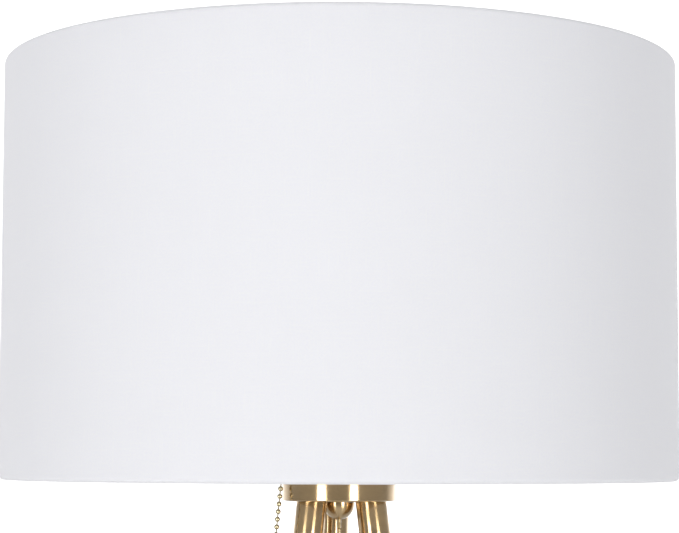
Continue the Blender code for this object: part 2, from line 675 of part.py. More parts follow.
def make_bulb(mats):
    """A screw-cap bulb: contact tip, threaded cap, housing and globe."""
    tip_top = BULB_BOTTOM + BULB_TIP_HEIGHT
    button = BULB_TIP_RADIUS * 0.6
    tip = [(0.0, tip_top), (BULB_TIP_RADIUS, tip_top), (button, BULB_BOTTOM), (0.0, BULB_BOTTOM)]
    turned("bulb_contact", tip, mats["steel"], COARSE)
    low = tip_top + GAP
    high = low + BULB_CAP_LENGTH
    cap = [(0.0, high), (BULB_CAP_RADIUS, high)]
    turns = int((BULB_CAP_LENGTH - 0.008) / BULB_THREAD_PITCH)
    for i in range(turns):
        crest = high - 0.002 - i * BULB_THREAD_PITCH
        cap += [(BULB_CAP_RADIUS, crest), (BULB_CAP_RADIUS - 0.0009, crest - BULB_THREAD_PITCH / 2)]
    cap += [(BULB_CAP_RADIUS - 0.001, low + 0.005), (BULB_TIP_RADIUS + 0.001, low), (0.0, low)]
    turned("bulb_cap", cap, mats["bright_brass"], MEDIUM)
    low, high = high + GAP, high + GAP + BULB_HOUSING_LENGTH
    housing = [(0.0, high), (BULB_HOUSING_TOP_RADIUS, high), (BULB_CAP_RADIUS + 0.0005, low + 0.004)]
    housing += [(BULB_CAP_RADIUS, low), (0.0, low)]
    turned("bulb_housing", housing, mats["housing"], MEDIUM)
    low = high + GAP
    widest = low + BULB_GLOBE_LENGTH - BULB_RADIUS
    lining = BULB_RADIUS - BULB_GLOBE_WALL
    rim = BULB_HOUSING_TOP_RADIUS + 0.0005
    globe = [(0.0, widest + BULB_RADIUS)] + arc(0, widest, BULB_RADIUS, BULB_RADIUS, 75, -15, 6)
    globe += [(rim, low), (rim - BULB_GLOBE_WALL, low)]
    globe += arc(0, widest, lining, lining, -15, 75, 6) + [(0.0, widest + lining)]
    turned("bulb_globe", globe, mats["glass"], MEDIUM)


def make_harp(mats):
    """The saddle with its two posts, the wire bow with its boss and stud, and the two sleeves."""
    azimuth = ARM_AZIMUTH - 90
    turn = math.radians(azimuth)
    post = HARP_POST_SPACING
    size = (post * 2 + SADDLE_WIDTH * 0.6, SADDLE_WIDTH, SADDLE_THICKNESS)
    middle = (0, 0, SADDLE_BOTTOM + SADDLE_THICKNESS / 2)
    saddle = box("harp_saddle", size, middle, mats["bright_brass"])
    saddle.rotation_euler.z = turn
    hole = rod_profile(NIPPLE_RADIUS + GAP, SADDLE_BOTTOM - 0.001, SADDLE_TOP + 0.001)
    boolean(saddle, turned("saddle_hole", hole, None, MEDIUM, collection=CUTTERS))
    post_top = SADDLE_TOP + HARP_POST_HEIGHT
    for side, name in ((1, "a"), (-1, "b")):
        foot = around(post * side, azimuth)
        rod = rod_profile(HARP_WIRE_RADIUS, SADDLE_BOTTOM + SADDLE_THICKNESS / 2, post_top)
        peg = turned(f"harp_post_{name}", rod, None, COARSE, collection=CUTTERS, location=foot)
        boolean(saddle, peg, "UNION")
        sleeve_inner = HARP_WIRE_RADIUS + GAP
        low = post_top - HARP_SLEEVE_LENGTH / 2
        sleeve = tube_profile(sleeve_inner + HARP_SLEEVE_WALL, sleeve_inner, low, low + HARP_SLEEVE_LENGTH)
        turned(f"harp_sleeve_{name}", sleeve, mats["bright_brass"], COARSE, hollow=True, location=foot)

    boss_middle = HARP_SEAT - HARP_BOSS_HEIGHT / 2
    rise = boss_middle - (post_top + GAP)
    straight = (HARP_SLEEVE_LENGTH / 2 + 0.0019) / rise  # the wire bends once it has left its sleeve
    half = [
        (post, 0.0), (post, straight), (post * 1.35, 0.11), (HARP_BULGE * 0.93, 0.26), (HARP_BULGE, 0.45),
        (HARP_BULGE * 0.9, 0.66), (HARP_BULGE * 0.62, 0.84), (HARP_BULGE * 0.3, 0.955), (0.0, 1.0),
    ]
    outline = half + [(-across, share) for across, share in half[-2::-1]]
    route = [around(across, azimuth, post_top + GAP + rise * share) for across, share in outline]
    bow = as_mesh(wire("harp_bow", curve_points(route, 0.024, 0.024), HARP_WIRE_RADIUS, mats["bright_brass"]))
    top = [
        (0.0, HARP_SEAT + HARP_STUD_LENGTH),
        (HARP_STUD_RADIUS, HARP_SEAT + HARP_STUD_LENGTH),
        (HARP_STUD_RADIUS, HARP_SEAT),
        (HARP_BOSS_RADIUS, HARP_SEAT),
        (HARP_BOSS_RADIUS, HARP_SEAT - HARP_BOSS_HEIGHT),
        (0.0, HARP_SEAT - HARP_BOSS_HEIGHT),
    ]
    boolean(bow, turned("harp_boss", top, None, COARSE, collection=CUTTERS), "UNION")


def make_shade(mats):
    """The drum: linen, styrene liner, lower ring, and upper ring with its spider."""
    outer = SHADE_RADIUS
    fabric = tube_profile(outer, outer - SHADE_WALL, SHADE_BOTTOM, SHADE_TOP)
    turned("shade_fabric", fabric, mats["linen"], FINE, hollow=True)
    outer -= SHADE_WALL + GAP
    liner = tube_profile(outer, outer - LINER_WALL, SHADE_BOTTOM + 0.0005, SHADE_TOP - 0.0005)
    turned("shade_liner", liner, mats["liner"], FINE, hollow=True)
    low = SHADE_BOTTOM + RING_WIRE_RADIUS + 0.001
    high = SHADE_TOP - RING_WIRE_RADIUS - 0.001
    loop = [around(RING_RADIUS, 360 * i / RING) for i in range(RING)]
    closed = {"cyclic": True, "resolution": 1}
    low_loop = [p + Vector((0, 0, low)) for p in loop]
    wire("shade_bottom_ring", low_loop, RING_WIRE_RADIUS, mats["white_wire"], **closed)
    half = SPIDER_WASHER_HEIGHT / 2
    hole = HARP_STUD_RADIUS + SLIDE_GAP
    washer = tube_profile(SPIDER_WASHER_RADIUS, hole, SPIDER_HEIGHT - half, SPIDER_HEIGHT + half)
    spider = turned("shade_spider", washer, mats["white_wire"], MEDIUM, hollow=True)
    high_loop = [p + Vector((0, 0, high)) for p in loop]
    ring = as_mesh(wire("top_ring", high_loop, RING_WIRE_RADIUS, None, collection=CUTTERS, **closed))
    boolean(spider, ring, "UNION")
    for azimuth in SPIDER_AZIMUTHS:
        route = [
            around(SPIDER_WASHER_RADIUS - 0.004, azimuth, SPIDER_HEIGHT),
            around(RING_RADIUS - 0.030, azimuth, SPIDER_HEIGHT),
            around(RING_RADIUS - 0.010, azimuth, SPIDER_HEIGHT + (high - SPIDER_HEIGHT) * 0.3),
            around(RING_RADIUS, azimuth, high),
        ]
        name = f"spider_arm_{azimuth:.0f}"
        arm = wire(name, route, SPIDER_ARM_RADIUS, None, resolution=1, collection=CUTTERS)
        boolean(spider, as_mesh(arm), "UNION")


def make_finial(mats):
    """The finial's base, which clamps the shade, and the knob on it."""
    bore = HARP_STUD_RADIUS + GAP
    low, high = FINIAL_BOTTOM, FINIAL_BOTTOM + FINIAL_BASE_HEIGHT
    r = FINIAL_BASE_RADIUS
    base = [(r * 0.7, high), (r, high - 0.0015), (r, low), (bore, low), (bore, high)]
    turned("finial_base", base, mats["brass"], MEDIUM, hollow=True)
    low = high + GAP
    high = low + FINIAL_KNOB_HEIGHT
    r = FINIAL_KNOB_RADIUS
    middle = high - r
    roof = HARP_SEAT + HARP_STUD_LENGTH + GAP
    foot = FINIAL_NECK_RADIUS + 0.0010
    knob = [(0.0, high)] + arc(0, middle, r, r, 75, -60, 6)
    knob += [(FINIAL_NECK_RADIUS, low + 0.0020), (foot, low + 0.0012), (foot, low)]
    knob += [(bore, low), (bore, roof), (0.0, roof)]
    turned("finial_knob", knob, mats["brass"], MEDIUM)


def make_cord(mats):
    """The hanging flex, its coil and tie, its tail and the plug with two blades."""
    step = (CORD_PLUMB_END - CORD_TOP) / CORD_PLUMB_POINTS
    route = [(0.0, 0.0, CORD_TOP + step * i) for i in range(CORD_PLUMB_POINTS + 1)]
    route += CORD_BEND_ROUTE
    wire("cord_hang", curve_points(route, CORD_STEP, CORD_STRAIGHT_STEP), CORD_RADIUS, mats["flex"])
    wire("cord_tail", curve_points(CORD_TAIL_ROUTE, CORD_STEP, CORD_STEP), CORD_RADIUS, mats["flex"])
    edge = 0.0015
    outer, inner, high = COIL_OUTER_RADIUS, COIL_INNER_RADIUS, COIL_HEIGHT
    ring = [
        (outer - edge, high), (outer, high - edge), (outer, edge), (outer - edge, 0.0),
        (inner + edge, 0.0), (inner, edge), (inner, high - edge), (inner + edge, high),
    ]
    turned("cord_coil", ring, mats["flex"], FINE // 2, hollow=True, location=(*COIL_CENTRE, COIL_BOTTOM))
    wide = outer - inner + 2 * TIE_GAP
    tall = COIL_HEIGHT + 2 * TIE_GAP
    middle = (COIL_CENTRE[0], COIL_CENTRE[1] + (outer + inner) / 2, COIL_BOTTOM + COIL_HEIGHT / 2)
    size = (TIE_WIDTH, wide + 2 * TIE_THICKNESS, tall + 2 * TIE_THICKNESS)
    tie = box("cord_tie", size, middle, mats["tie"])
    boolean(tie, box("cord_tie_inside", (TIE_WIDTH * 2, wide, tall), middle, None, collection=CUTTERS))

    end = Vector(CORD_TAIL_ROUTE[-1])
    middle = (end.x + GAP + PLUG_LENGTH / 2, end.y, PLUG_HEIGHT / 2)
    plug = box("plug_body", (PLUG_LENGTH, PLUG_WIDTH, PLUG_HEIGHT), middle, mats["flex"])
    bevel = plug.modifiers.new("Edges", "BEVEL")
    bevel.width = 0.0025
    bevel.segments = 2
    blade_middle = end.x + GAP + PLUG_LENGTH + GAP + BLADE_LENGTH / 2
    for side, name in ((1, "left"), (-1, "right")):
        place = (blade_middle, end.y + side * BLADE_SPACING / 2, PLUG_HEIGHT / 2)
        box(f"plug_blade_{name}", (BLADE_LENGTH, BLADE_THICKNESS, BLADE_WIDTH), place, mats["bright_brass"])


def main():
    clear_scene()
    mats = make_materials()
    size = LEG_FLOOR_RADIUS * 4
    floor = box("floor_cutter", (size, size, 0.1), (0, 0, -0.05), None, collection=CUTTERS)
    make_hub_disc(mats)
    for name, azimuth in LEG_NAMES.items():
        make_leg(name, azimuth, mats, floor)
    make_centre_stack(mats)
    make_holder(mats)
    make_pull_chain(mats)
    make_bulb(mats)
    make_harp(mats)
    make_shade(mats)
    make_finial(mats)
    make_cord(mats)


main()
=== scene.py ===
"""Looks of the tripod floor lamp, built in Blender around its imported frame.

Metres, +Z up, in the frame's own coordinates: the origin is on the floor, on the lamp's axis, and the
rear leg points to +Y. Each sub-assembly is a class that holds its sizes, takes its places from the
frame's nodes, makes its meshes with bmesh operators and dresses them in a finish.
"""

from __future__ import annotations

import json
import logging
import math
from dataclasses import dataclass, field
from enum import Enum
from typing import Callable, Iterable, Sequence

import bmesh
import bpy
from mathutils import Matrix, Vector

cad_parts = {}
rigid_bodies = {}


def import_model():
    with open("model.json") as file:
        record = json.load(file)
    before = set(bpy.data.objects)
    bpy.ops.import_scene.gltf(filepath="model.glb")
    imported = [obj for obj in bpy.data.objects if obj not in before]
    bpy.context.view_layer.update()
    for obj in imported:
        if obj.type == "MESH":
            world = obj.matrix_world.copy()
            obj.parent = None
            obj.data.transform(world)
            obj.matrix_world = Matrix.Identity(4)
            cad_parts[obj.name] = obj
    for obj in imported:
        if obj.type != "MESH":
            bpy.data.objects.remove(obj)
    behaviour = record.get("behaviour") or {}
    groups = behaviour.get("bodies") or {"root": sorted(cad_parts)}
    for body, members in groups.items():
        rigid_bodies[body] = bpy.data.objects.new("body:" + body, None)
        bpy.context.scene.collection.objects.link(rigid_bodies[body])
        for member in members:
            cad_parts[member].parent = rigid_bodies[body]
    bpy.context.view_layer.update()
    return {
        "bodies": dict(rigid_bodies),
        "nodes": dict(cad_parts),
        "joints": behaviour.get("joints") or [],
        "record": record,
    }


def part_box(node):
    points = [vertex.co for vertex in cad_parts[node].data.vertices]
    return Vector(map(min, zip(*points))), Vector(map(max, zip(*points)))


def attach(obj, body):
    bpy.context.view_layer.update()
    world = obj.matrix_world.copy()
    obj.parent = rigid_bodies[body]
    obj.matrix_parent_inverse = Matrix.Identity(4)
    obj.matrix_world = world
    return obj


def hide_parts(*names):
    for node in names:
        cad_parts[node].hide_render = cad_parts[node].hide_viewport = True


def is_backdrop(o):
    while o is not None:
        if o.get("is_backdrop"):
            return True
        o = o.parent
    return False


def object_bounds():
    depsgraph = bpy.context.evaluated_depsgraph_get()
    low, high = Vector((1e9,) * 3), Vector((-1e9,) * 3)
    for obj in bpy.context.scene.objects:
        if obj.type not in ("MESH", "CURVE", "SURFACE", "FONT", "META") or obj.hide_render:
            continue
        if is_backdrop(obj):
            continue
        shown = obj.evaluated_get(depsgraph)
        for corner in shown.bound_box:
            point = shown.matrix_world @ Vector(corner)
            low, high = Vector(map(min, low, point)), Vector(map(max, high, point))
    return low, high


LOG = logging.getLogger("tripod_floor_lamp")
TAU = 2 * math.pi
WELD = 1e-6
SHARP_ANGLE = math.radians(32)
ROUND_STEPS = 96
SMALL_STEPS = 40
LEG_AZIMUTHS = {"rear": 90.0, "left": 210.0, "right": 330.0}
NIPPLE_BORE = 0.0051
FIT_GAP = 0.0003
STUD_RISE = 0.0100

Profile = Sequence[tuple[float, float]]
Route = Sequence[tuple[float, float, float]]


class Body(Enum):
    """The bodies of the frame that pieces ride on."""

    LAMP = "lamp_frame"
    SHADE = "shade"
    FINIAL_BASE = "finial_base"
    FINIAL_KNOB = "finial_knob"
    BULB_TIP = "bulb_tip"
    BULB = "bulb"
    CHAIN_HEAD = "chain_head"
    CHAIN = "chain"


class Slot(Enum):
    """The record's material slots."""

    ANTIQUE_BRASS = "antique_brass"
    BRIGHT_BRASS = "bright_brass"
    CHAIN_BRASS = "chain_brass"
    STEEL = "zinc_steel"
    SCREW_CAP = "bulb_screw_cap"
    LINEN = "white_linen"
    LINER = "styrene_liner"
    WHITE_WIRE = "white_wire"
    CARD = "insulating_card"
    PHENOLIC = "phenolic"
    HOUSING = "bulb_housing"
    DIFFUSER = "bulb_diffuser"
    RUBBER = "rubber"
    FLEX = "flex_gold"
    TIE = "cord_tie"
    PLUG = "plug_gold"
    BLADE = "plug_blade"


# ---------------------------------------------------------------- shader building


class NodeTree:
    """A thin hand for placing and joining shader nodes."""

    def __init__(self, tree: bpy.types.NodeTree) -> None:
        """Keeps the tree that the nodes go in.

        Args:
            tree: a material's or a group's node tree.
        """
        self.tree = tree

    def add(self, kind: str, inputs: dict[str, object] | None = None, **settings: object) -> bpy.types.Node:
        """Places one node.

        Args:
            kind: the node's type without its ShaderNode prefix.
            inputs: socket names and what goes in each: another node's output or a plain value.
            **settings: the node's own properties.

        Returns:
            The new node.
        """
        node = self.tree.nodes.new("ShaderNode" + kind)
        for key, value in settings.items():
            setattr(node, key, value)
        for key, value in (inputs or {}).items():
            self.feed(node.inputs[key], value)
        return node

    def feed(self, socket: bpy.types.NodeSocket, value: object) -> None:
        """Links a socket to an output, or sets its plain value.

        Args:
            socket: the input.
            value: another node's output or a plain value.
        """
        if isinstance(value, bpy.types.NodeSocket):
            self.tree.links.new(value, socket)
        else:
            socket.default_value = value

    def maths(
        self,
        operation: str,
        first: object,
        second: object = None,
        third: object = None,
        clamp: bool = False,
    ) -> bpy.types.NodeSocket:
        """Adds a Math node.

        Args:
            operation: the node's operation.
            first: its first value or output.
            second: its second, where it has one.
            third: its third, where it has one.
            clamp: whether the result is kept from 0 to 1.

        Returns:
            The node's output.
        """
        node = self.add("Math", operation=operation, use_clamp=clamp)
        for socket, value in zip(node.inputs, (first, second, third)):
            if value is not None:
                self.feed(socket, value)
        return node.outputs["Value"]

    def remap(
        self, value: object, low: float, high: float, new_low: float, new_high: float
    ) -> bpy.types.NodeSocket:
        """Returns the value carried from one range to another, clamped."""
        inputs = {"Value": value, "From Min": low, "From Max": high, "To Min": new_low, "To Max": new_high}
        return self.add("MapRange", inputs).outputs["Result"]

    def blend(self, share: object, first: object, second: object) -> bpy.types.NodeSocket:
        """Mixes two colours.

        Args:
            share: how much of the second colour there is.
            first: a colour, or the output that holds it.
            second: the other colour.

        Returns:
            The mix.
        """
        node = self.tree.nodes.new("ShaderNodeMix")
        node.data_type = "RGBA"
        for socket, value in ((node.inputs[0], share), (node.inputs[6], first), (node.inputs[7], second)):
            self.feed(socket, value)
        return node.outputs[2]

    def noise(
        self, vector: object, scale: float, detail: float = 2.0, roughness: float = 0.5
    ) -> bpy.types.NodeSocket:
        """Returns a noise value at a vector."""
        inputs = {"Vector": vector, "Scale": scale, "Detail": detail, "Roughness": roughness}
        return self.add("TexNoise", inputs).outputs["Fac"]


def new_group(
    name: str, inputs: dict[str, float], outputs: Iterable[str]
) -> tuple[NodeTree, bpy.types.Node, bpy.types.Node]:
    """Starts a shader node group with a Vector input and float sockets.

    Args:
        name: the group's name.
        inputs: names and defaults of the float inputs that follow Vector.
        outputs: names of the float outputs.

    Returns:
        The group's node tree, its input node and its output node.
    """
    tree = bpy.data.node_groups.new(name, "ShaderNodeTree")
    tree.interface.new_socket("Vector", in_out="INPUT", socket_type="NodeSocketVector")
    for key, value in inputs.items():
        tree.interface.new_socket(key, in_out="INPUT", socket_type="NodeSocketFloat").default_value = value
    for key in outputs:
        tree.interface.new_socket(key, in_out="OUTPUT", socket_type="NodeSocketFloat")
    hand = NodeTree(tree)
    return hand, tree.nodes.new("NodeGroupInput"), tree.nodes.new("NodeGroupOutput")


class Effects:
    """The surface effects that several finishes share, each a node group built once."""

    def __init__(self) -> None:
        """Builds every group."""
        self.grain = self._grain()
        self.patina = self._patina()
        self.weave = self._weave()
        self.speckle = self._speckle()

    @staticmethod
    def _grain() -> bpy.types.NodeTree:
        """Fine tool lines: long one way, close together the other way.

        Returns:
            The group, with outputs Lines and Rub.
        """
        hand, given, result = new_group("Tool lines", {"Pitch": 0.0002, "Length": 0.02}, ("Lines", "Rub"))
        parts = hand.add("SeparateXYZ", {"Vector": given.outputs["Vector"]})
        along = hand.maths("DIVIDE", parts.outputs["X"], given.outputs["Length"])
        across = hand.maths("DIVIDE", parts.outputs["Y"], given.outputs["Pitch"])
        lines = hand.add("CombineXYZ", {"X": along, "Y": across, "Z": 0.0}).outputs["Vector"]
        hand.feed(result.inputs["Lines"], hand.noise(lines, 1.0, 3.0, 0.65))
        broad = hand.maths("MULTIPLY", across, 0.04)
        rubs = hand.add("CombineXYZ", {"X": along, "Y": broad, "Z": 4.0}).outputs["Vector"]
        hand.feed(result.inputs["Rub"], hand.noise(rubs, 1.0, 4.0, 0.6))
        return hand.tree

    @staticmethod
    def _patina() -> bpy.types.NodeTree:
        """Soft clouds of darker, browner metal with small flecks in them.

        Returns:
            The group, with outputs Cloud and Fleck.
        """
        hand, given, result = new_group("Patina", {"Scale": 60.0}, ("Cloud", "Fleck"))
        size = {0: given.outputs["Vector"], "Scale": given.outputs["Scale"]}
        spread = hand.add("VectorMath", size, operation="SCALE")
        cloud = hand.noise(spread.outputs["Vector"], 1.0, 5.0, 0.6)
        hand.feed(result.inputs["Cloud"], hand.remap(cloud, 0.32, 0.72, 0.0, 1.0))
        fleck = hand.noise(spread.outputs["Vector"], 21.0, 2.0, 0.5)
        hand.feed(result.inputs["Fleck"], hand.remap(fleck, 0.66, 0.74, 0.0, 1.0))
        return hand.tree

    @staticmethod
    def _weave() -> bpy.types.NodeTree:
        """A plain weave of uneven threads, with slubs along both ways of the cloth, and a mask for shade
        painted between the threads.

        Returns:
            The group, with outputs Height, Gap shade and tone, and Slub.
        """
        given_values = {"Thread": 0.00055, "Slub": 1.0}
        hand, given, result = new_group("Linen weave", given_values, ("Height", "Gap shade and tone", "Slub"))
        parts = hand.add("SeparateXYZ", {"Vector": given.outputs["Vector"]})
        flat = hand.add("CombineXYZ", {"X": parts.outputs["X"], "Y": parts.outputs["Y"], "Z": 0.0})
        wander = flat.outputs["Vector"]
        drift = hand.maths("SUBTRACT", hand.noise(wander, 260.0, 2.0), 0.5)
        threads, sides = {}, {"X": "Y", "Y": "X"}
        for side, other in sides.items():
            even = hand.maths("DIVIDE", parts.outputs[side], given.outputs["Thread"])
            bent = hand.maths("ADD", even, drift)
            count = hand.maths("FLOOR", bent)
            bump = hand.maths("SINE", hand.maths("MULTIPLY", hand.maths("FRACT", bent), math.pi))
            far = hand.maths("MULTIPLY", parts.outputs[other], 42.0)
            own = hand.maths("MULTIPLY", count, 7.31)
            place = hand.add("CombineXYZ", {"X": own, "Y": far, "Z": 3.0 * (side == "X")})
            thick = hand.remap(hand.noise(place.outputs["Vector"], 1.0, 1.0), 0.56, 0.78, 0.0, 1.0)
            threads[side] = (bump, count, hand.maths("MULTIPLY", thick, given.outputs["Slub"]))
        parity = hand.maths("ADD", threads["X"][1], threads["Y"][1])
        over = hand.maths("PINGPONG", parity, 1.0)
        under = hand.maths("SUBTRACT", 1.0, over)
        high_x = hand.maths("MULTIPLY", threads["X"][0], hand.maths("MULTIPLY_ADD", over, 0.55, 0.45))
        high_y = hand.maths("MULTIPLY", threads["Y"][0], hand.maths("MULTIPLY_ADD", under, 0.55, 0.45))
        slub = hand.maths("MAXIMUM", threads["X"][2], threads["Y"][2])
        height = hand.maths("ADD", hand.maths("MAXIMUM", high_x, high_y), hand.maths("MULTIPLY", slub, 0.6))
        hand.feed(result.inputs["Height"], height)
        # Low in the gaps between threads, where the cloth gets painted shade; the fine noise added to it is
        # the cloth's random tone.
        gap_shade_mask = hand.maths("MULTIPLY", threads["X"][0], threads["Y"][0])
        tone = hand.maths("ADD", hand.maths("MULTIPLY", gap_shade_mask, 0.5), hand.noise(wander, 900.0, 2.0))
        hand.feed(result.inputs["Gap shade and tone"], hand.maths("MULTIPLY", tone, 0.7))
        hand.feed(result.inputs["Slub"], slub)
        return hand.tree

    @staticmethod
    def _speckle() -> bpy.types.NodeTree:
        """The fine orange peel and faint handling marks of a moulded or coated surface.

        Returns:
            The group, with outputs Peel and Marks.
        """
        hand, given, result = new_group("Moulded skin", {"Scale": 1.0}, ("Peel", "Marks"))
        size = {0: given.outputs["Vector"], "Scale": given.outputs["Scale"]}
        spread = hand.add("VectorMath", size, operation="SCALE")
        hand.feed(result.inputs["Peel"], hand.noise(spread.outputs["Vector"], 1400.0, 2.0))
        marks = hand.noise(spread.outputs["Vector"], 70.0, 5.0, 0.7)
        hand.feed(result.inputs["Marks"], hand.remap(marks, 0.4, 0.7, 0.0, 1.0))
        return hand.tree


# ---------------------------------------------------------------- finishes


def start_material(name: str) -> tuple[bpy.types.Material, NodeTree, bpy.types.Node]:
    """Starts a material.

    Args:
        name: the finish's name.

    Returns:
        The material, its node tree and its Principled shader.
    """
    made = bpy.data.materials.new(name)
    made.use_nodes = True
    return made, NodeTree(made.node_tree), made.node_tree.nodes["Principled BSDF"]


def use_effect(
    hand: NodeTree, group: bpy.types.NodeTree, vector: object, **values: float
) -> bpy.types.Node:
    """Places a group in a material with its own values.

    Args:
        hand: the material's node tree.
        group: the shared effect.
        vector: the output that the effect is laid out on.
        **values: the group's own inputs.

    Returns:
        The group node.
    """
    node = hand.add("Group", node_tree=group)
    hand.feed(node.inputs["Vector"], vector)
    for key, value in values.items():
        node.inputs[key].default_value = value
    return node


def set_bump(
    hand: NodeTree, shader: bpy.types.Node, height: object, distance: float, strength: float = 1.0
) -> None:
    """Feeds a height into a Bump node and that into the shader's normal.

    Args:
        hand: the material's node tree.
        shader: the Principled shader.
        height: the output that holds the height, from 0 to 1.
        distance: how tall a height of 1 stands, in metres.
        strength: how much of it shows.
    """
    bump = hand.add("Bump", {"Height": height, "Distance": distance, "Strength": strength})
    hand.feed(shader.inputs["Normal"], bump.outputs["Normal"])


@dataclass(frozen=True)
class PlatedMetal:
    """A plated or bare metal with tool lines, patina in soft clouds and a clear lacquer."""

    name: str
    colour: tuple[float, float, float]
    dark: tuple[float, float, float]
    roughness: float
    patina: float = 0.35
    grain: float = 0.5
    pitch: float = 0.00022
    lacquer: float = 0.25
    clouds: float = 55.0
    stretch: float = 0.0

    def material(self, effects: Effects) -> bpy.types.Material:
        """Makes the finish, with its tool lines laid out on the piece's UV map.

        Args:
            effects: the shared effects.

        Returns:
            The material.
        """
        made, hand, shader = start_material(self.name)
        place = hand.add("TexCoord")
        lines = use_effect(hand, effects.grain, place.outputs["UV"], Pitch=self.pitch, Length=0.03)
        aged = use_effect(hand, effects.patina, place.outputs["Object"], Scale=self.clouds)
        rub = hand.remap(lines.outputs["Rub"], 0.3, 0.7, 0.0, 0.35)
        clouded = hand.maths("ADD", aged.outputs["Cloud"], rub)
        share = hand.maths("MULTIPLY", clouded, self.patina, clamp=True)
        flecks = hand.maths("MULTIPLY", aged.outputs["Fleck"], 0.25 * self.patina)
        worn = hand.maths("ADD", share, flecks, clamp=True)
        hand.feed(shader.inputs["Base Color"], hand.blend(worn, (*self.colour, 1.0), (*self.dark, 1.0)))
        shader.inputs["Metallic"].default_value = 1.0
        spread = hand.remap(lines.outputs["Lines"], 0.25, 0.75, -0.05 * self.grain, 0.05 * self.grain)
        dull = hand.maths("MULTIPLY", aged.outputs["Cloud"], 0.05 * self.patina)
        satin = hand.maths("ADD", self.roughness, spread)
        hand.feed(shader.inputs["Roughness"], hand.maths("ADD", satin, dull))
        shader.inputs["Coat Weight"].default_value = self.lacquer
        shader.inputs["Coat Roughness"].default_value = 0.08
        if self.stretch:
            shader.inputs["Anisotropic"].default_value = self.stretch
            shader.inputs["Anisotropic Rotation"].default_value = 0.25
            tangent = hand.add("Tangent", direction_type="UV_MAP", uv_map="UVMap")
            hand.feed(shader.inputs["Tangent"], tangent.outputs["Tangent"])
        set_bump(hand, shader, lines.outputs["Lines"], 0.000004, self.grain)
        return made


@dataclass(frozen=True)
class Moulding:
    """A moulded plastic, rubber or powder coat, with a faint orange peel and handling marks."""

    name: str
    colour: tuple[float, float, float]
    roughness: float
    marks: float = 0.06
    peel: float = 0.5
    scale: float = 1.0
    clearness: float = 0.0
    glow: float = 0.0

    def material(self, effects: Effects) -> bpy.types.Material:
        """Makes the finish.

        Args:
            effects: the shared effects.

        Returns:
            The material.
        """
        made, hand, shader = start_material(self.name)
        place = hand.add("TexCoord")
        skin = use_effect(hand, effects.speckle, place.outputs["Object"], Scale=self.scale)
        darker = tuple(c * (1.0 - self.marks) for c in self.colour)
        tone = hand.blend(skin.outputs["Marks"], (*self.colour, 1.0), (*darker, 1.0))
        hand.feed(shader.inputs["Base Color"], tone)
        handled = min(1.0, self.roughness * 1.18)
        rough = hand.remap(skin.outputs["Marks"], 0.0, 1.0, self.roughness, handled)
        hand.feed(shader.inputs["Roughness"], rough)
        shader.inputs["Transmission Weight"].default_value = self.clearness
        if self.glow:
            shader.inputs["Subsurface Weight"].default_value = self.glow
            shader.inputs["Subsurface Scale"].default_value = 0.004
            shader.inputs["Subsurface Radius"].default_value = (1.0, 0.9, 0.8)
        set_bump(hand, shader, skin.outputs["Peel"], 0.00002 * self.peel)
        return made


@dataclass(frozen=True)
class Linen:
    """White linen over a styrene liner: a plain weave of uneven threads with slubs, with shade painted into
    the gaps between threads and a faint painted glow that stands in for light shining through.
    """

    name: str
    colour: tuple[float, float, float]
    # shadow: the colour painted into the weave's gaps as shade
    shadow: tuple[float, float, float]
    thread: float = 0.00055
    slub: float = 1.0
    relief: float = 0.00009
    # painted glow: emission in the cloth's own colour, standing in for light shining through the shade from
    # behind
    painted_glow: float = 0.16

    def material(self, effects: Effects) -> bpy.types.Material:
        """Makes the cloth, laid out on the piece's UV map in metres.

        Args:
            effects: the shared effects.

        Returns:
            The material.
        """
        made, hand, shader = start_material(self.name)
        place = hand.add("TexCoord")
        weave = use_effect(hand, effects.weave, place.outputs["UV"], Thread=self.thread, Slub=self.slub)
        # Painted shade: the shadow colour goes into the weave's gaps, and slubs keep the full colour.
        share = hand.remap(weave.outputs["Gap shade and tone"], 0.25, 0.85, 0.40, 0.0)
        cloth = hand.blend(share, (*self.colour, 1.0), (*self.shadow, 1.0))
        lit = hand.blend(hand.maths("MULTIPLY", weave.outputs["Slub"], 0.5), cloth, (*self.colour, 1.0))
        hand.feed(shader.inputs["Base Color"], lit)
        shader.inputs["Roughness"].default_value = 0.92
        shader.inputs["Sheen Weight"].default_value = 0.12
        shader.inputs["Sheen Roughness"].default_value = 0.4
        shader.inputs["Specular IOR Level"].default_value = 0.25
        # Painted glow: the cloth gives off its own colour, standing in for light shining through it from
        # behind.
        hand.feed(shader.inputs["Emission Color"], lit)
        shader.inputs["Emission Strength"].default_value = self.painted_glow
        set_bump(hand, shader, weave.outputs["Height"], self.relief, 0.6)
        return made


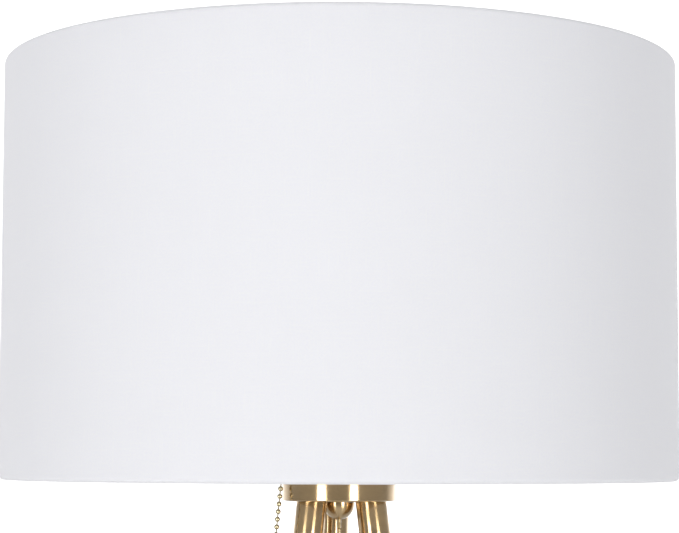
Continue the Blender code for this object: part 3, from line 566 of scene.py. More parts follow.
@dataclass(frozen=True)
class TwinFlex:
    """Clear gold insulation over two stranded conductors, which glint through it in slanting lines."""

    name: str
    colour: tuple[float, float, float]
    strand: tuple[float, float, float]
    lay: float = 0.0011

    def material(self, effects: Effects) -> bpy.types.Material:
        """Makes the finish, with its strands laid out on the cord's UV map.

        Args:
            effects: the shared effects.

        Returns:
            The material.
        """
        made, hand, shader = start_material(self.name)
        place = hand.add("TexCoord")
        parts = hand.add("SeparateXYZ", {"Vector": place.outputs["UV"]})
        slant = hand.maths("ADD", hand.maths("MULTIPLY", parts.outputs["X"], 0.7), parts.outputs["Y"])
        turn = hand.maths("DIVIDE", slant, self.lay)
        wave = hand.maths("SINE", hand.maths("MULTIPLY", turn, TAU))
        strands = hand.maths("MULTIPLY_ADD", wave, 0.5, 0.5)
        skin = use_effect(hand, effects.speckle, place.outputs["Object"], Scale=1.0)
        share = hand.maths("MULTIPLY", strands, hand.remap(skin.outputs["Marks"], 0.0, 1.0, 0.55, 0.25))
        hand.feed(shader.inputs["Base Color"], hand.blend(share, (*self.colour, 1.0), (*self.strand, 1.0)))
        shader.inputs["Metallic"].default_value = 0.35
        shader.inputs["Roughness"].default_value = 0.26
        shader.inputs["Coat Weight"].default_value = 0.8
        shader.inputs["Coat Roughness"].default_value = 0.08
        set_bump(hand, shader, strands, 0.00003, 0.4)
        return made


FINISHES = {
    Slot.ANTIQUE_BRASS: PlatedMetal(
        "Antique brass, satin plating",
        (0.56, 0.395, 0.205),
        (0.38, 0.260, 0.122),
        0.22,
        patina=0.45,
        grain=0.4,
        lacquer=1.0,
        stretch=0.9,
    ),
    Slot.BRIGHT_BRASS: PlatedMetal(
        "Plain brass plating", (0.78, 0.60, 0.33), (0.55, 0.38, 0.17), 0.2, patina=0.3
    ),
    Slot.CHAIN_BRASS: PlatedMetal(
        "Ball chain brass",
        (0.66, 0.57, 0.36),
        (0.36, 0.29, 0.15),
        0.20,
        patina=0.4,
        clouds=300.0,
        lacquer=1.0,
    ),
    Slot.STEEL: PlatedMetal("Zinc plated steel", (0.62, 0.62, 0.60), (0.42, 0.42, 0.42), 0.34, patina=0.4),
    Slot.SCREW_CAP: PlatedMetal(
        "Rolled aluminium thread", (0.80, 0.79, 0.76), (0.55, 0.54, 0.52), 0.3, patina=0.3
    ),
    # The linen's second colour is painted shade for the gaps between threads.
    Slot.LINEN: Linen("White linen on the drum", (0.870, 0.872, 0.908), (0.76, 0.762, 0.795)),
    Slot.LINER: Moulding("White styrene liner", (0.86, 0.86, 0.86), 0.5, marks=0.03, peel=0.3),
    Slot.WHITE_WIRE: Moulding("White powder coat", (0.83, 0.83, 0.82), 0.42, marks=0.05, peel=1.4),
    Slot.CARD: Moulding("Insulating card", (0.50, 0.40, 0.26), 0.9, marks=0.25, peel=2.0, scale=2.0),
    Slot.PHENOLIC: Moulding("Dark phenolic", (0.035, 0.028, 0.022), 0.32, marks=0.2),
    Slot.HOUSING: Moulding("White bulb housing", (0.84, 0.84, 0.83), 0.38, marks=0.04),
    Slot.DIFFUSER: Moulding("Frosted bulb diffuser", (0.92, 0.92, 0.90), 0.3, marks=0.02, glow=0.6),
    Slot.RUBBER: Moulding("Black rubber", (0.022, 0.022, 0.022), 0.75, marks=0.3, peel=3.0, scale=0.6),
    Slot.FLEX: TwinFlex("Clear gold twin flex", (0.66, 0.49, 0.22), (0.86, 0.70, 0.40)),
    Slot.TIE: Moulding("Black strap", (0.02, 0.02, 0.02), 0.5, marks=0.2),
    Slot.PLUG: Moulding("Clear gold moulding", (0.66, 0.50, 0.24), 0.28, marks=0.08, peel=0.6, glow=0.35),
    Slot.BLADE: PlatedMetal("Plug blade brass", (0.80, 0.64, 0.36), (0.55, 0.40, 0.20), 0.22, patina=0.25),
}


class Workshop:
    """Holds the materials, dresses pieces in them and keeps a tally of what is made."""

    def __init__(self) -> None:
        """Builds the shared effects and a material for each slot."""
        effects = Effects()
        self.materials = {slot: finish.material(effects) for slot, finish in FINISHES.items()}
        self.made: list[bpy.types.Object] = []

    def dress(self, piece: bpy.types.Object, slot: Slot, body: Body, *stands_for: str) -> bpy.types.Object:
        """Gives a piece its finish and its body, and hides the frame nodes that it stands for.

        Args:
            piece: the finished piece.
            slot: the record's material slot.
            body: the body it moves with.
            *stands_for: the frame's nodes that it replaces.

        Returns:
            The piece.
        """
        piece.data.materials.clear()
        piece.data.materials.append(self.materials[slot])
        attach(piece, body.value)
        if stands_for:
            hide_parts(*stands_for)
        self.made.append(piece)
        LOG.info("%s rides on %s in %s", piece.name, body.value, slot.value)
        return piece

    def dress_node(self, node: str, slot: Slot) -> None:
        """Gives a frame node that stays visible a finer material.

        Args:
            node: the frame's node.
            slot: the record's material slot.
        """
        obj = bpy.data.objects[node]
        obj.data.materials.clear()
        obj.data.materials.append(self.materials[slot])
        LOG.info("%s stays, in %s", node, slot.value)


# ---------------------------------------------------------------- shaping


def around(radius: float, azimuth: float, height: float = 0.0) -> Vector:
    """Returns the point at this radius, azimuth in degrees and height."""
    angle = math.radians(azimuth)
    return Vector((radius * math.cos(angle), radius * math.sin(angle), height))


def arc(
    centre: tuple[float, float], radii: tuple[float, float], start: float, end: float, steps: int
) -> list[tuple[float, float]]:
    """Returns points (r, z) along an elliptical arc, with its angles in degrees from +r towards +z."""
    angles = [math.radians(start + (end - start) * i / steps) for i in range(steps + 1)]
    return [(centre[0] + radii[0] * math.cos(a), centre[1] + radii[1] * math.sin(a)) for a in angles]


def smooth_route(route: Iterable[Sequence[float]], step: float) -> list[Vector]:
    """Points along one smooth curve through a route.

    Args:
        route: the points to pass through.
        step: about how far apart the new points are.

    Returns:
        The points of the curve, from the route's first to its last.
    """
    given = [Vector(p) for p in route]
    ends = [given[0], *given, given[-1]]
    points = []
    for p0, p1, p2, p3 in zip(ends, ends[1:], ends[2:], ends[3:]):
        pieces = max(1, round((p2 - p1).length / step))
        square = 2 * p0 - 5 * p1 + 4 * p2 - p3
        cube = 3 * p1 - p0 - 3 * p2 + p3
        for i in range(pieces):
            t = i / pieces
            points.append((2 * p1 + (p2 - p0) * t + square * t**2 + cube * t**3) / 2)
    points.append(given[-1])
    return points


def as_piece(name: str, shape: bmesh.types.BMesh, sharp: float = SHARP_ANGLE) -> bpy.types.Object:
    """Turns a finished bmesh into an object at the origin, shaded smooth between its sharp edges.

    Args:
        name: the piece's name.
        shape: its finished shape, which is freed.
        sharp: the angle past which an edge stays sharp.

    Returns:
        The piece.
    """
    mesh = bpy.data.meshes.new(name)
    shape.to_mesh(mesh)
    shape.free()
    mesh.shade_smooth()
    mesh.set_sharp_from_angle(angle=sharp)
    piece = bpy.data.objects.new(name, mesh)
    bpy.context.scene.collection.objects.link(piece)
    return piece


def lay_out(shape: bmesh.types.BMesh, along: Callable[[bmesh.types.BMVert], float], radius: float) -> None:
    """Gives a turned shape a UV map in metres: once around the axis in U, along its profile in V.

    Args:
        shape: a shape still on the Z axis.
        along: what a vertex's distance along the profile is.
        radius: the radius at which U has its true length.
    """
    layer = shape.loops.layers.uv.new("UVMap")
    for face in shape.faces:
        middle = face.calc_center_median()
        home = math.atan2(middle.y, middle.x)
        for loop in face.loops:
            place = loop.vert.co
            on_axis = place.xy.length < WELD
            turn = 0.0 if on_axis else math.atan2(place.y, place.x) - home
            turn = (turn + math.pi) % TAU - math.pi
            loop[layer].uv = ((home + turn) * radius, along(loop.vert))


def spun(profile: Profile, closed: bool, steps: int) -> bmesh.types.BMesh:
    """A turned shape on the Z axis, laid out for its finish.

    Args:
        profile: the points (r, z) of the outline.
        closed: whether the outline closes on itself, as a ring's does.
        steps: the corners around the axis.

    Returns:
        The shape.
    """
    shape = bmesh.new()
    along = shape.verts.layers.float.new("along")
    verts = [shape.verts.new((r, 0.0, z)) for r, z in profile]
    run = 0.0
    for i, vert in enumerate(verts):
        if i:
            run += (vert.co - verts[i - 1].co).length
        vert[along] = run
    pairs = list(zip(verts, verts[1:])) + ([(verts[-1], verts[0])] if closed else [])
    edges = [shape.edges.new(pair) for pair in pairs]
    bmesh.ops.spin(
        shape, geom=verts + edges, cent=(0, 0, 0), axis=(0, 0, 1), angle=TAU, steps=steps, use_merge=True
    )
    bmesh.ops.remove_doubles(shape, verts=shape.verts, dist=WELD)
    bmesh.ops.recalc_face_normals(shape, faces=shape.faces)
    lay_out(shape, lambda vert: vert[along], max(r for r, _ in profile))
    return shape


def turned(
    name: str,
    profile: Profile,
    closed: bool = False,
    steps: int = ROUND_STEPS,
    place: Matrix | None = None,
) -> bpy.types.Object:
    """A turned piece.

    Args:
        name: the piece's name.
        profile: the points (r, z) of its outline, which may start and end on the axis.
        closed: whether the outline closes on itself.
        steps: the corners around the axis.
        place: where the piece's own axis goes.

    Returns:
        The piece.
    """
    shape = spun(profile, closed, steps)
    if place is not None:
        bmesh.ops.transform(shape, matrix=place, verts=shape.verts)
    return as_piece(name, shape)


def eased(
    profile: Profile, size: float, closed: bool = False, segments: int = 2
) -> list[tuple[float, float]]:
    """A profile with its corners cut in short steps, as a turned edge is broken.

    Args:
        profile: the sharp outline.
        size: how far along each side the cut starts.
        closed: whether the outline closes on itself.
        segments: the steps of each cut.

    Returns:
        The eased outline.
    """
    points = [Vector(p) for p in profile]
    count = len(points)
    result = []
    for i, corner in enumerate(points):
        if not closed and i in (0, count - 1):
            result.append(tuple(corner))
            continue
        before, after = points[i - 1], points[(i + 1) % count]
        reach = min(size, (before - corner).length * 0.4, (after - corner).length * 0.4)
        first = corner + (before - corner).normalized() * reach
        last = corner + (after - corner).normalized() * reach
        for k in range(segments + 1):
            t = k / segments
            result.append(tuple((1 - t) ** 2 * first + 2 * t * (1 - t) * corner + t**2 * last))
    return result


def frames_along(points: Sequence[Vector], side: Callable[[int, Vector], Vector]) -> list[Matrix]:
    """Frames on a path, each with its Z axis along the path and its X axis near a wished side.

    Args:
        points: the path.
        side: the wished side for a point's number and direction.

    Returns:
        One frame for each point.
    """
    frames = []
    for i, point in enumerate(points):
        ahead = (points[min(i + 1, len(points) - 1)] - points[max(i - 1, 0)]).normalized()
        wish = side(i, ahead)
        x_axis = (wish - ahead * wish.dot(ahead)).normalized()
        y_axis = ahead.cross(x_axis)
        frame = Matrix((x_axis, y_axis, ahead)).transposed().to_4x4()
        frame.translation = point
        frames.append(frame)
    return frames


def swept(
    name: str, section: Sequence[tuple[float, float]], frames: Sequence[Matrix], capped: bool = True
) -> bpy.types.Object:
    """A section carried along frames, laid out with U around the section and V along the path.

    Args:
        name: the piece's name.
        section: the closed section's points in each frame's X and Y.
        frames: the frames, as frames_along gives them.
        capped: whether its ends are closed, or else the path joins up with itself.

    Returns:
        The piece.
    """
    shape = bmesh.new()
    number = shape.verts.layers.int.new("number")
    ring_at = shape.verts.layers.int.new("ring")
    corners = [Vector((x, y, 0.0)) for x, y in section]
    first = [shape.verts.new(frames[0] @ corner) for corner in corners]
    for i, vert in enumerate(first):
        vert[number] = i
    edges = [shape.edges.new((first[i - 1], first[i])) for i in range(len(first))]
    start = edges
    for ring, frame in enumerate(frames[1:], 1):
        made = bmesh.ops.extrude_edge_only(shape, edges=edges)["geom"]
        edges = [item for item in made if isinstance(item, bmesh.types.BMEdge)]
        moved = [item for item in made if isinstance(item, bmesh.types.BMVert)]
        edges = [edge for edge in edges if all(vert in moved for vert in edge.verts)]
        for vert in moved:
            vert.co = frame @ corners[vert[number]]
            vert[ring_at] = ring
    if capped:
        bmesh.ops.holes_fill(shape, edges=start + edges, sides=0)
    else:
        bmesh.ops.bridge_loops(shape, edges=start + edges)
    bmesh.ops.recalc_face_normals(shape, faces=shape.faces)
    reach = [0.0]
    for before, after in zip(frames, frames[1:]):
        reach.append(reach[-1] + (after.translation - before.translation).length)
    girth = sum((corners[i] - corners[i - 1]).length for i in range(len(corners)))
    layer = shape.loops.layers.uv.new("UVMap")
    count = len(corners)
    for face in shape.faces:
        wraps = {loop.vert[number] for loop in face.loops} >= {0, count - 1} and len(face.loops) == 4
        for loop in face.loops:
            share = loop.vert[number] / count
            share += 1.0 if wraps and loop.vert[number] == 0 else 0.0
            loop[layer].uv = (share * girth, reach[loop.vert[ring_at]])
    return as_piece(name, shape)


def gentle(share: float) -> float:
    """Returns a share from 0 to 1 that starts and ends gently."""
    held = min(max(share, 0.0), 1.0)
    return held * held * (3 - 2 * held)


def squared(angle: float, wide: float, tall: float, power: float) -> tuple[float, float]:
    """Returns the point at an angle on an oval that is squarer the smaller its power."""
    across, up = math.cos(angle), math.sin(angle)
    return (abs(across) ** power * math.copysign(wide, across), abs(up) ** power * math.copysign(tall, up))


def circle(radius: float, corners: int = 16) -> list[tuple[float, float]]:
    """Returns the points of a round section."""
    angles = [TAU * i / corners for i in range(corners)]
    return [(radius * math.cos(a), radius * math.sin(a)) for a in angles]


def wire(
    name: str, points: Sequence[Vector], radius: float, corners: int = 16, closed: bool = False
) -> bpy.types.Object:
    """A round wire along points.

    Args:
        name: the piece's name.
        points: the middle of the wire.
        radius: its radius.
        corners: the corners around it.
        closed: whether its end meets its start.

    Returns:
        The piece.
    """
    if closed:
        count = len(points)
        padded = [points[-1], *points, points[0]]
        frames = frames_along(padded, lambda i, ahead: Vector((0, 0, 1)))[1 : count + 1]
    else:
        frames = frames_along(points, lambda i, ahead: Vector((0.13, 0.31, 0.94)))
    return swept(name, circle(radius, corners), frames, capped=not closed)


def block(
    name: str, size: Sequence[float], place: Matrix, edge: float, segments: int = 3
) -> bpy.types.Object:
    """A box with rounded edges.

    Args:
        name: the piece's name.
        size: its three sides.
        place: where its middle goes and how it is turned.
        edge: the radius of its edges.
        segments: the steps of each edge.

    Returns:
        The piece.
    """
    shape = bmesh.new()
    bmesh.ops.create_cube(shape, size=1.0, calc_uvs=False)
    bmesh.ops.transform(shape, matrix=Matrix.Diagonal((*size, 1.0)), verts=shape.verts)
    bmesh.ops.bevel(
        shape, geom=shape.edges[:], offset=edge, affect="EDGES", segments=segments, profile=0.5, material=-1
    )
    box_layout(shape)
    bmesh.ops.transform(shape, matrix=place, verts=shape.verts)
    return as_piece(name, shape)


def box_layout(shape: bmesh.types.BMesh) -> None:
    """Gives a shape a UV map in metres, seen along each face's main direction.

    Args:
        shape: a shape whose sides face along the axes.
    """
    layer = shape.loops.layers.uv.new("UVMap")
    for face in shape.faces:
        normal = face.normal
        main = max(range(3), key=lambda axis: abs(normal[axis]))
        across, up = [axis for axis in range(3) if axis != main]
        for loop in face.loops:
            loop[layer].uv = (loop.vert.co[across], loop.vert.co[up])


def joined(name: str, pieces: Sequence[bpy.types.Object]) -> bpy.types.Object:
    """Several touching shapes as one piece.

    Args:
        name: the piece's name.
        pieces: the shapes, which are removed.

    Returns:
        The piece.
    """
    shape = bmesh.new()
    for piece in pieces:
        shape.from_mesh(piece.data)
        bpy.data.objects.remove(piece)
    return as_piece(name, shape)


def cut(piece: bpy.types.Object, cutters: Iterable[bpy.types.Object]) -> bpy.types.Object:
    """Cuts other shapes out of a piece.

    Args:
        piece: the piece.
        cutters: the shapes to take out of it, which are removed.

    Returns:
        The piece.
    """
    for cutter in cutters:
        modifier = piece.modifiers.new("Cut", "BOOLEAN")
        modifier.operation = "DIFFERENCE"
        modifier.object = cutter
        graph = bpy.context.evaluated_depsgraph_get()
        mesh = bpy.data.meshes.new_from_object(piece.evaluated_get(graph))
        piece.modifiers.clear()
        piece.data = mesh
        bpy.data.objects.remove(cutter)
    piece.data.shade_smooth()
    piece.data.set_sharp_from_angle(angle=SHARP_ANGLE)
    return piece


@dataclass
class Assembly:
    """A sub-assembly, whose pieces one workshop dresses."""

    shop: Workshop

    def build(self) -> None:
        """Makes every piece of the sub-assembly."""
        raise NotImplementedError


def middle_of(node: str) -> Vector:
    """Returns the middle of a frame node's box."""
    low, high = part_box(node)
    return (low + high) / 2


# ---------------------------------------------------------------- camera and cord


@dataclass
class Viewpoint:
    """The camera: almost level with the shade's lower rim, in front of the two front legs."""

    azimuth: float = 261.0
    distance: float = 1.3007
    over_rim: float = 0.0148
    lens: float = 113.88
    tilt_up: float = 5.027
    roll: float = 0.157

    def build(self) -> None:
        """Makes the camera and gives it to the scene."""
        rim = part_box("shade_fabric")[0].z
        place = around(self.distance, self.azimuth, rim + self.over_rim)
        tilt = math.radians(self.tilt_up)
        level = -place.xy.to_3d().normalized()
        ahead = level * math.cos(tilt) + Vector((0, 0, math.sin(tilt)))
        right = ahead.cross(Vector((0, 0, 1))).normalized()
        up = right.cross(ahead)
        roll = math.radians(self.roll)
        turned_right = right * math.cos(roll) + up * math.sin(roll)
        turned_up = up * math.cos(roll) - right * math.sin(roll)
        lens = bpy.data.cameras.new("camera")
        lens.lens = self.lens
        camera = bpy.data.objects.new("camera", lens)
        bpy.context.scene.collection.objects.link(camera)
        camera.matrix_world = Matrix((turned_right, turned_up, -ahead)).transposed().to_4x4()
        camera.location = place
        bpy.context.scene.camera = camera
        LOG.info("camera at %s", tuple(round(x, 4) for x in place))


@dataclass
class FlexCord(Assembly):
    """The flat twin flex that hangs from the dome, its coil behind the cord's foot, and its plug."""

    width: float = 0.0044
    thickness: float = 0.0020
    step: float = 0.003
    plumb_step: float = 0.012
    inner_turn: float = 0.0231
    outer_turn: float = 0.0309
    layer_turns: float = 3.0
    climb_turns: float = 0.5
    low_layer: float = 0.0033
    high_layer: float = 0.0082
    points_in_turn: int = 24
    hang: Route = (
        *((0.0, 0.0, z) for z in (1.2506, 1.20, 1.10, 0.95, 0.80, 0.65, 0.50, 0.35, 0.22, 0.13)),
        (-0.0005, 0.0, 0.080),
        (-0.0035, 0.0, 0.048),
        (-0.0120, 0.0, 0.020),
        (-0.0260, 0.0, 0.0045),
        (-0.0400, 0.0005, 0.0014),
        (-0.0530, 0.0050, 0.0016),
        (-0.0640, 0.0150, 0.0021),
        (-0.0700, 0.0300, 0.0026),
        (-0.0708, 0.0480, 0.0027),
        (-0.0702, 0.0660, 0.0029),
    )
    tail: Route = (
        (-0.0010, 0.0730, 0.0072),
        (0.0030, 0.0610, 0.0052),
        (0.0100, 0.0540, 0.0036),
        (0.0200, 0.0505, 0.0034),
        (0.0300, 0.0500, 0.0046),
        (0.0380, 0.0500, 0.0060),
        (0.0450, 0.0500, 0.0065),
    )
    plug_stations: Sequence[tuple[float, float, float]] = (
        (0.0000, 0.0030, 0.0019),
        (0.0015, 0.0034, 0.0023),
        (0.0060, 0.0042, 0.0030),
        (0.0085, 0.0058, 0.0042),
        (0.0115, 0.0088, 0.0056),
        (0.0140, 0.0101, 0.0062),
        (0.0272, 0.0110, 0.0065),
        (0.0292, 0.0109, 0.0064),
        (0.0300, 0.0103, 0.0058),
    )
    ridge_span: tuple[float, float] = (0.0155, 0.0255)
    ridge_pitch: float = 0.0020
    ridge_height: float = 0.00028
    blade_hole: float = 0.0016
    strap_thickness: float = 0.0007
    twist_in: float = 0.045
    twist_out: float = 0.060
    settle: float = 0.012

    def build(self) -> None:
        """Makes every piece of the cord."""
        plug = self._plug()
        blades = [self._blade(name) for name in ("plug_blade_left", "plug_blade_right")]
        tie = self._tie()
        self._flex([plug, tie, *blades])

    def _section(self) -> list[tuple[float, float]]:
        """The twin outline: two round cores side by side with a narrow waist between them.

        Returns:
            The section's points.
        """
        radius = self.thickness / 2
        offset = self.width / 2 - radius
        lobe = [math.radians(-150 + 300 * i / 10) for i in range(11)]
        right = [(offset + radius * math.cos(a), radius * math.sin(a)) for a in lobe]
        left = [(-x, -y) for x, y in right]
        return right + left

    def _coil_route(self) -> list[Vector]:
        """The coil's line: inwards in the low layer, up, and outwards in the high layer.

        Returns:
            The line's points.
        """
        centre = middle_of("cord_coil")
        turns = 2 * self.layer_turns + self.climb_turns
        count = round(turns * self.points_in_turn)
        route = []
        for i in range(count + 1):
            turn = turns * i / count
            climbed = gentle((turn - self.layer_turns) / self.climb_turns)
            inward = min(turn, self.layer_turns) / self.layer_turns
            outward = max(turn - self.layer_turns - self.climb_turns, 0.0) / self.layer_turns
            radius = self.outer_turn + (self.inner_turn - self.outer_turn) * (inward - outward)
            height = self.low_layer + (self.high_layer - self.low_layer) * climbed
            point = around(radius, 180.0 - 360.0 * turn, height)
            route.append(Vector((centre.x + point.x, centre.y + point.y, height)))
        return route

    def _flex(self, pieces: Sequence[bpy.types.Object]) -> None:
        """Args:
            pieces: the separate pieces on the cord; not used.
        """
        hang = [Vector(p) for p in self.hang]
        plumb_end = next(i for i, p in enumerate(hang) if abs(p.x) > WELD) - 2
        straight = smooth_route(hang[: plumb_end + 1], self.plumb_step)
        lying = [*hang[plumb_end:], *self._coil_route()[1:], *(Vector(p) for p in self.tail)]
        bent = smooth_route(lying, self.step)
        path = straight[:-1] + bent
        reach = [0.0]
        for before, after in zip(path, path[1:]):
            reach.append(reach[-1] + (after - before).length)
        on_floor = next(r for r, p in zip(reach, path) if p.z < self.low_layer)
        tail_start = next(r for r, p in reversed(list(zip(reach, path))) if p.y > middle_of("cord_coil").y)

        def side(i: int, ahead: Vector) -> Vector:
            """The way the flat lies: level at both ends, upright in the coil.

            Args:
                i: the point's number.
                ahead: the cord's direction there.

            Returns:
                The direction across the flat.
            """
            rise = gentle((reach[i] - on_floor - self.settle) / self.twist_in)
            fall = gentle((reach[i] - tail_start) / self.twist_out)
            angle = (rise - fall) * math.pi / 2
            flat = Vector((-ahead.y, ahead.x, 0.0))
            level = -flat.normalized() if flat.length > 0.2 else Vector((0, 1, 0))
            return level * math.cos(angle) + Vector((0, 0, 1)) * math.sin(angle)

        flex = swept("twin_flex", self._section(), frames_along(path, side))
        self.shop.dress(flex, Slot.FLEX, Body.LAMP, "cord_hang", "cord_coil", "cord_tail")
        LOG.info("flex is %.3f m long", reach[-1])

    def _plug(self) -> bpy.types.Object:
        """Makes the moulded plug body, waisted towards the cord and ridged for the fingers.

        Returns:
            The piece.
        """
        low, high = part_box("plug_body")
        centre = (low + high) / 2
        outline = [squared(TAU * i / 40, 1.0, 1.0, 0.55) for i in range(40)]
        turn = Matrix(((0, 0, 1), (1, 0, 0), (0, 1, 0))).to_4x4()
        ridge_start, ridge_end = self.ridge_span
        frames = []
        for station in smooth_route(self.plug_stations, 0.0005):
            ridge = 0.0
            if ridge_start < station.x < ridge_end:
                ridge = self.ridge_height * math.sin((station.x - ridge_start) / self.ridge_pitch * TAU)
            wide, tall = station.y + ridge, station.z + ridge * 0.3
            frame = turn @ Matrix.Diagonal((wide, tall, 1.0, 1.0))
            frame.translation = Vector((low.x + station.x, centre.y, centre.z))
            frames.append(frame)
        body = swept("plug_moulding", outline, frames)
        return self.shop.dress(body, Slot.PLUG, Body.LAMP, "plug_body")

    def _blade(self, node: str) -> bpy.types.Object:
        """Makes one blade, with its round hole near the tip.

        Args:
            node: the frame's node that it replaces.

        Returns:
            The piece.
        """
        low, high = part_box(node)
        size, middle = high - low, middle_of(node)
        blade = block(node + "_pressed", size, Matrix.Translation(middle), size.y * 0.3)
        r, y = self.blade_hole, size.y
        near_tip = Matrix.Translation((high.x - size.x * 0.24, middle.y, middle.z))
        place = near_tip @ Matrix.Rotation(math.pi / 2, 4, "X")
        hole = turned("blade_hole", [(0.0, y), (r, y), (r, -y), (0.0, -y)], steps=SMALL_STEPS, place=place)
        return self.shop.dress(cut(blade, [hole]), Slot.BLADE, Body.LAMP, node)

    def _tie(self) -> bpy.types.Object:
        """Makes the strap around the coil's turns, with its small head.

        Returns:
            The piece.
        """
        low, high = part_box("cord_tie")
        coil = middle_of("cord_coil")
        mid_turn = (self.inner_turn + self.outer_turn) / 2
        mid_layer = (self.low_layer + self.high_layer) / 2
        middle = Vector(((low.x + high.x) / 2, coil.y + mid_turn, mid_layer))
        wide = (self.outer_turn - self.inner_turn) / 2 + self.thickness / 2 + self.strap_thickness
        tall = (self.high_layer - self.low_layer) / 2 + self.width / 2 + self.strap_thickness * 0.7
        count = 48
        points = [middle + Vector((0, *squared(TAU * i / count, wide, tall, 0.5))) for i in range(count)]
        width, half = (high.x - low.x) / 2, self.strap_thickness / 2
        section = [(width, half), (-width, half), (-width, -half), (width, -half)]
        padded = [points[-1], *points, points[0]]
        frames = frames_along(padded, lambda i, ahead: Vector((1, 0, 0)))[1 : count + 1]
        strap = swept("strap_loop", section, frames, capped=False)
        head_place = Matrix.Translation(middle + Vector((0, wide + 0.0012, 0.0008)))
        head = block("strap_head", (width * 2.5, 0.0030, 0.0052), head_place, 0.0006)
        tie = joined("cord_strap", [strap, head])
        return self.shop.dress(tie, Slot.TIE, Body.LAMP, "cord_tie")


# ---------------------------------------------------------------- tripod


@dataclass
class Leg(Assembly):
    """One leg: two tubes, the coupler between them, the foot, and the nut on the hub."""

    name: str
    radius: float = 0.0094
    neck: float = 0.0092
    neck_length: float = 0.025
    tip: float = 0.0070
    coupler_radius: float = 0.0098
    coupler_half: float = 0.002
    foot_height: float = 0.014
    foot_radius: float = 0.0084
    top_in_hub: float = 0.0017
    joint_gap: float = 0.0003
    edge: float = 0.0004
    spot_depth: float = 0.0022
    spot_radius: float = 0.0081
    nut_height: float = 0.0075
    nut_flats: float = 0.013
    wall: float = 0.0012
    spigot_length: float = 0.006
    spigot_gap: float = 0.0003
    groove: float = 0.0005
    stud_bore: float = 0.0041
    pocket_depth: float = 0.002

    def __post_init__(self) -> None:
        """Works out the leg's axis and stations from the frame."""
        place = next(m["pos_m"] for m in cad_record()["mounts"] if m["name"] == f"foot_{self.name}")
        self.foot = Vector(place)
        top = middle_of(f"leg_{self.name}_stud")
        self.axis = (top - self.foot).normalized()
        low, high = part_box("hub_disc")
        self.hub_station = low.z / self.axis.z
        self.spot_station = high.z / self.axis.z - self.spot_depth
        self.coupler_station = (middle_of(f"leg_{self.name}_coupler") - self.foot).dot(self.axis)
        turn = self.axis.to_track_quat("Z", "Y").to_matrix().to_4x4()
        self.place = Matrix.Translation(self.foot) @ turn

    def build(self) -> None:
        """Makes every piece of the leg."""
        self._tubes()
        self._foot()
        self._nut()

    def _tubes(self) -> None:
        """Makes the two tubes and the coupler's ring."""
        ring_low = self.coupler_station - self.coupler_half
        ring_high = self.coupler_station + self.coupler_half
        top = self.hub_station + self.top_in_hub
        bore = self.radius - self.wall
        upper = [
            (bore, ring_high + self.joint_gap), (self.radius, ring_high + self.joint_gap),
            (self.radius, top - self.neck_length), (self.neck, top), (bore, top),
        ]
        piece = turned(f"leg_{self.name}_upper_tube", eased(upper, self.edge, True), True, place=self.place)
        self.shop.dress(piece, Slot.ANTIQUE_BRASS, Body.LAMP, f"leg_{self.name}_upper")
        low = self.foot_height + self.joint_gap
        high = ring_low - self.joint_gap
        lower = [(self.tip - self.wall, low), (self.tip, low), (self.radius, high), (bore, high)]
        piece = turned(f"leg_{self.name}_lower_tube", eased(lower, self.edge, True), True, place=self.place)
        self.shop.dress(piece, Slot.ANTIQUE_BRASS, Body.LAMP, f"leg_{self.name}_lower")
        spigot, r, middle = bore - self.spigot_gap, self.coupler_radius, self.coupler_station
        start, end = ring_low - self.spigot_length, ring_high + self.spigot_length
        ring = [
            (0.0, start), (spigot, start), (spigot, ring_low), (r, ring_low),
            (r, middle - self.groove), (r - self.groove, middle), (r, middle + self.groove),
            (r, ring_high), (spigot, ring_high), (spigot, end), (0.0, end),
        ]
        piece = turned(f"leg_{self.name}_coupler_ring", eased(ring, 0.0003), place=self.place)
        self.shop.dress(piece, Slot.BRIGHT_BRASS, Body.LAMP, f"leg_{self.name}_coupler")

    def _foot(self) -> None:
        """Makes the rubber foot, grooved and cut level with the floor."""
        high, r = self.foot_height, self.foot_radius
        outline = [(0.0, high), (self.tip + 0.0004, high), (r, high * 0.55)]
        for groove in (0.46, 0.34, 0.22):
            middle = high * groove
            outline += [(r, middle + 0.0006), (r - 0.0005, middle), (r, middle - 0.0006)]
        outline += [(r, -0.004), (0.0, -0.004)]
        shape = spun(eased(outline, 0.0005), False, ROUND_STEPS)
        bmesh.ops.transform(shape, matrix=self.place, verts=shape.verts)
        whole = shape.verts[:] + shape.edges[:] + shape.faces[:]
        sliced = bmesh.ops.bisect_plane(
            shape, geom=whole, plane_co=(0, 0, 0), plane_no=(0, 0, 1), clear_inner=True
        )
        rim = [item for item in sliced["geom_cut"] if isinstance(item, bmesh.types.BMEdge)]
        bmesh.ops.holes_fill(shape, edges=rim, sides=0)
        bmesh.ops.recalc_face_normals(shape, faces=shape.faces)
        foot = as_piece(f"leg_{self.name}_rubber_foot", shape)
        self.shop.dress(foot, Slot.RUBBER, Body.LAMP, f"leg_{self.name}_foot")

    def _nut(self) -> None:
        """Makes the capped hexagonal nut, with rounded corners at its crown."""
        shape = bmesh.new()
        across = self.nut_flats / math.sqrt(3)
        bmesh.ops.create_cone(
            shape,
            cap_ends=True,
            cap_tris=False,
            segments=6,
            radius1=across,
            radius2=across,
            depth=self.nut_height,
        )
        bmesh.ops.bevel(
            shape, geom=shape.edges[:], offset=0.0004, affect="EDGES", segments=2, profile=0.5, material=-1
        )
        box_layout(shape)
        lift = self.spot_station + self.joint_gap + self.nut_height / 2
        bmesh.ops.transform(shape, matrix=self.place @ Matrix.Translation((0, 0, lift)), verts=shape.verts)
        piece = as_piece(f"leg_{self.name}_cap_nut", shape)
        self.shop.dress(piece, Slot.ANTIQUE_BRASS, Body.LAMP, f"leg_{self.name}_nut")

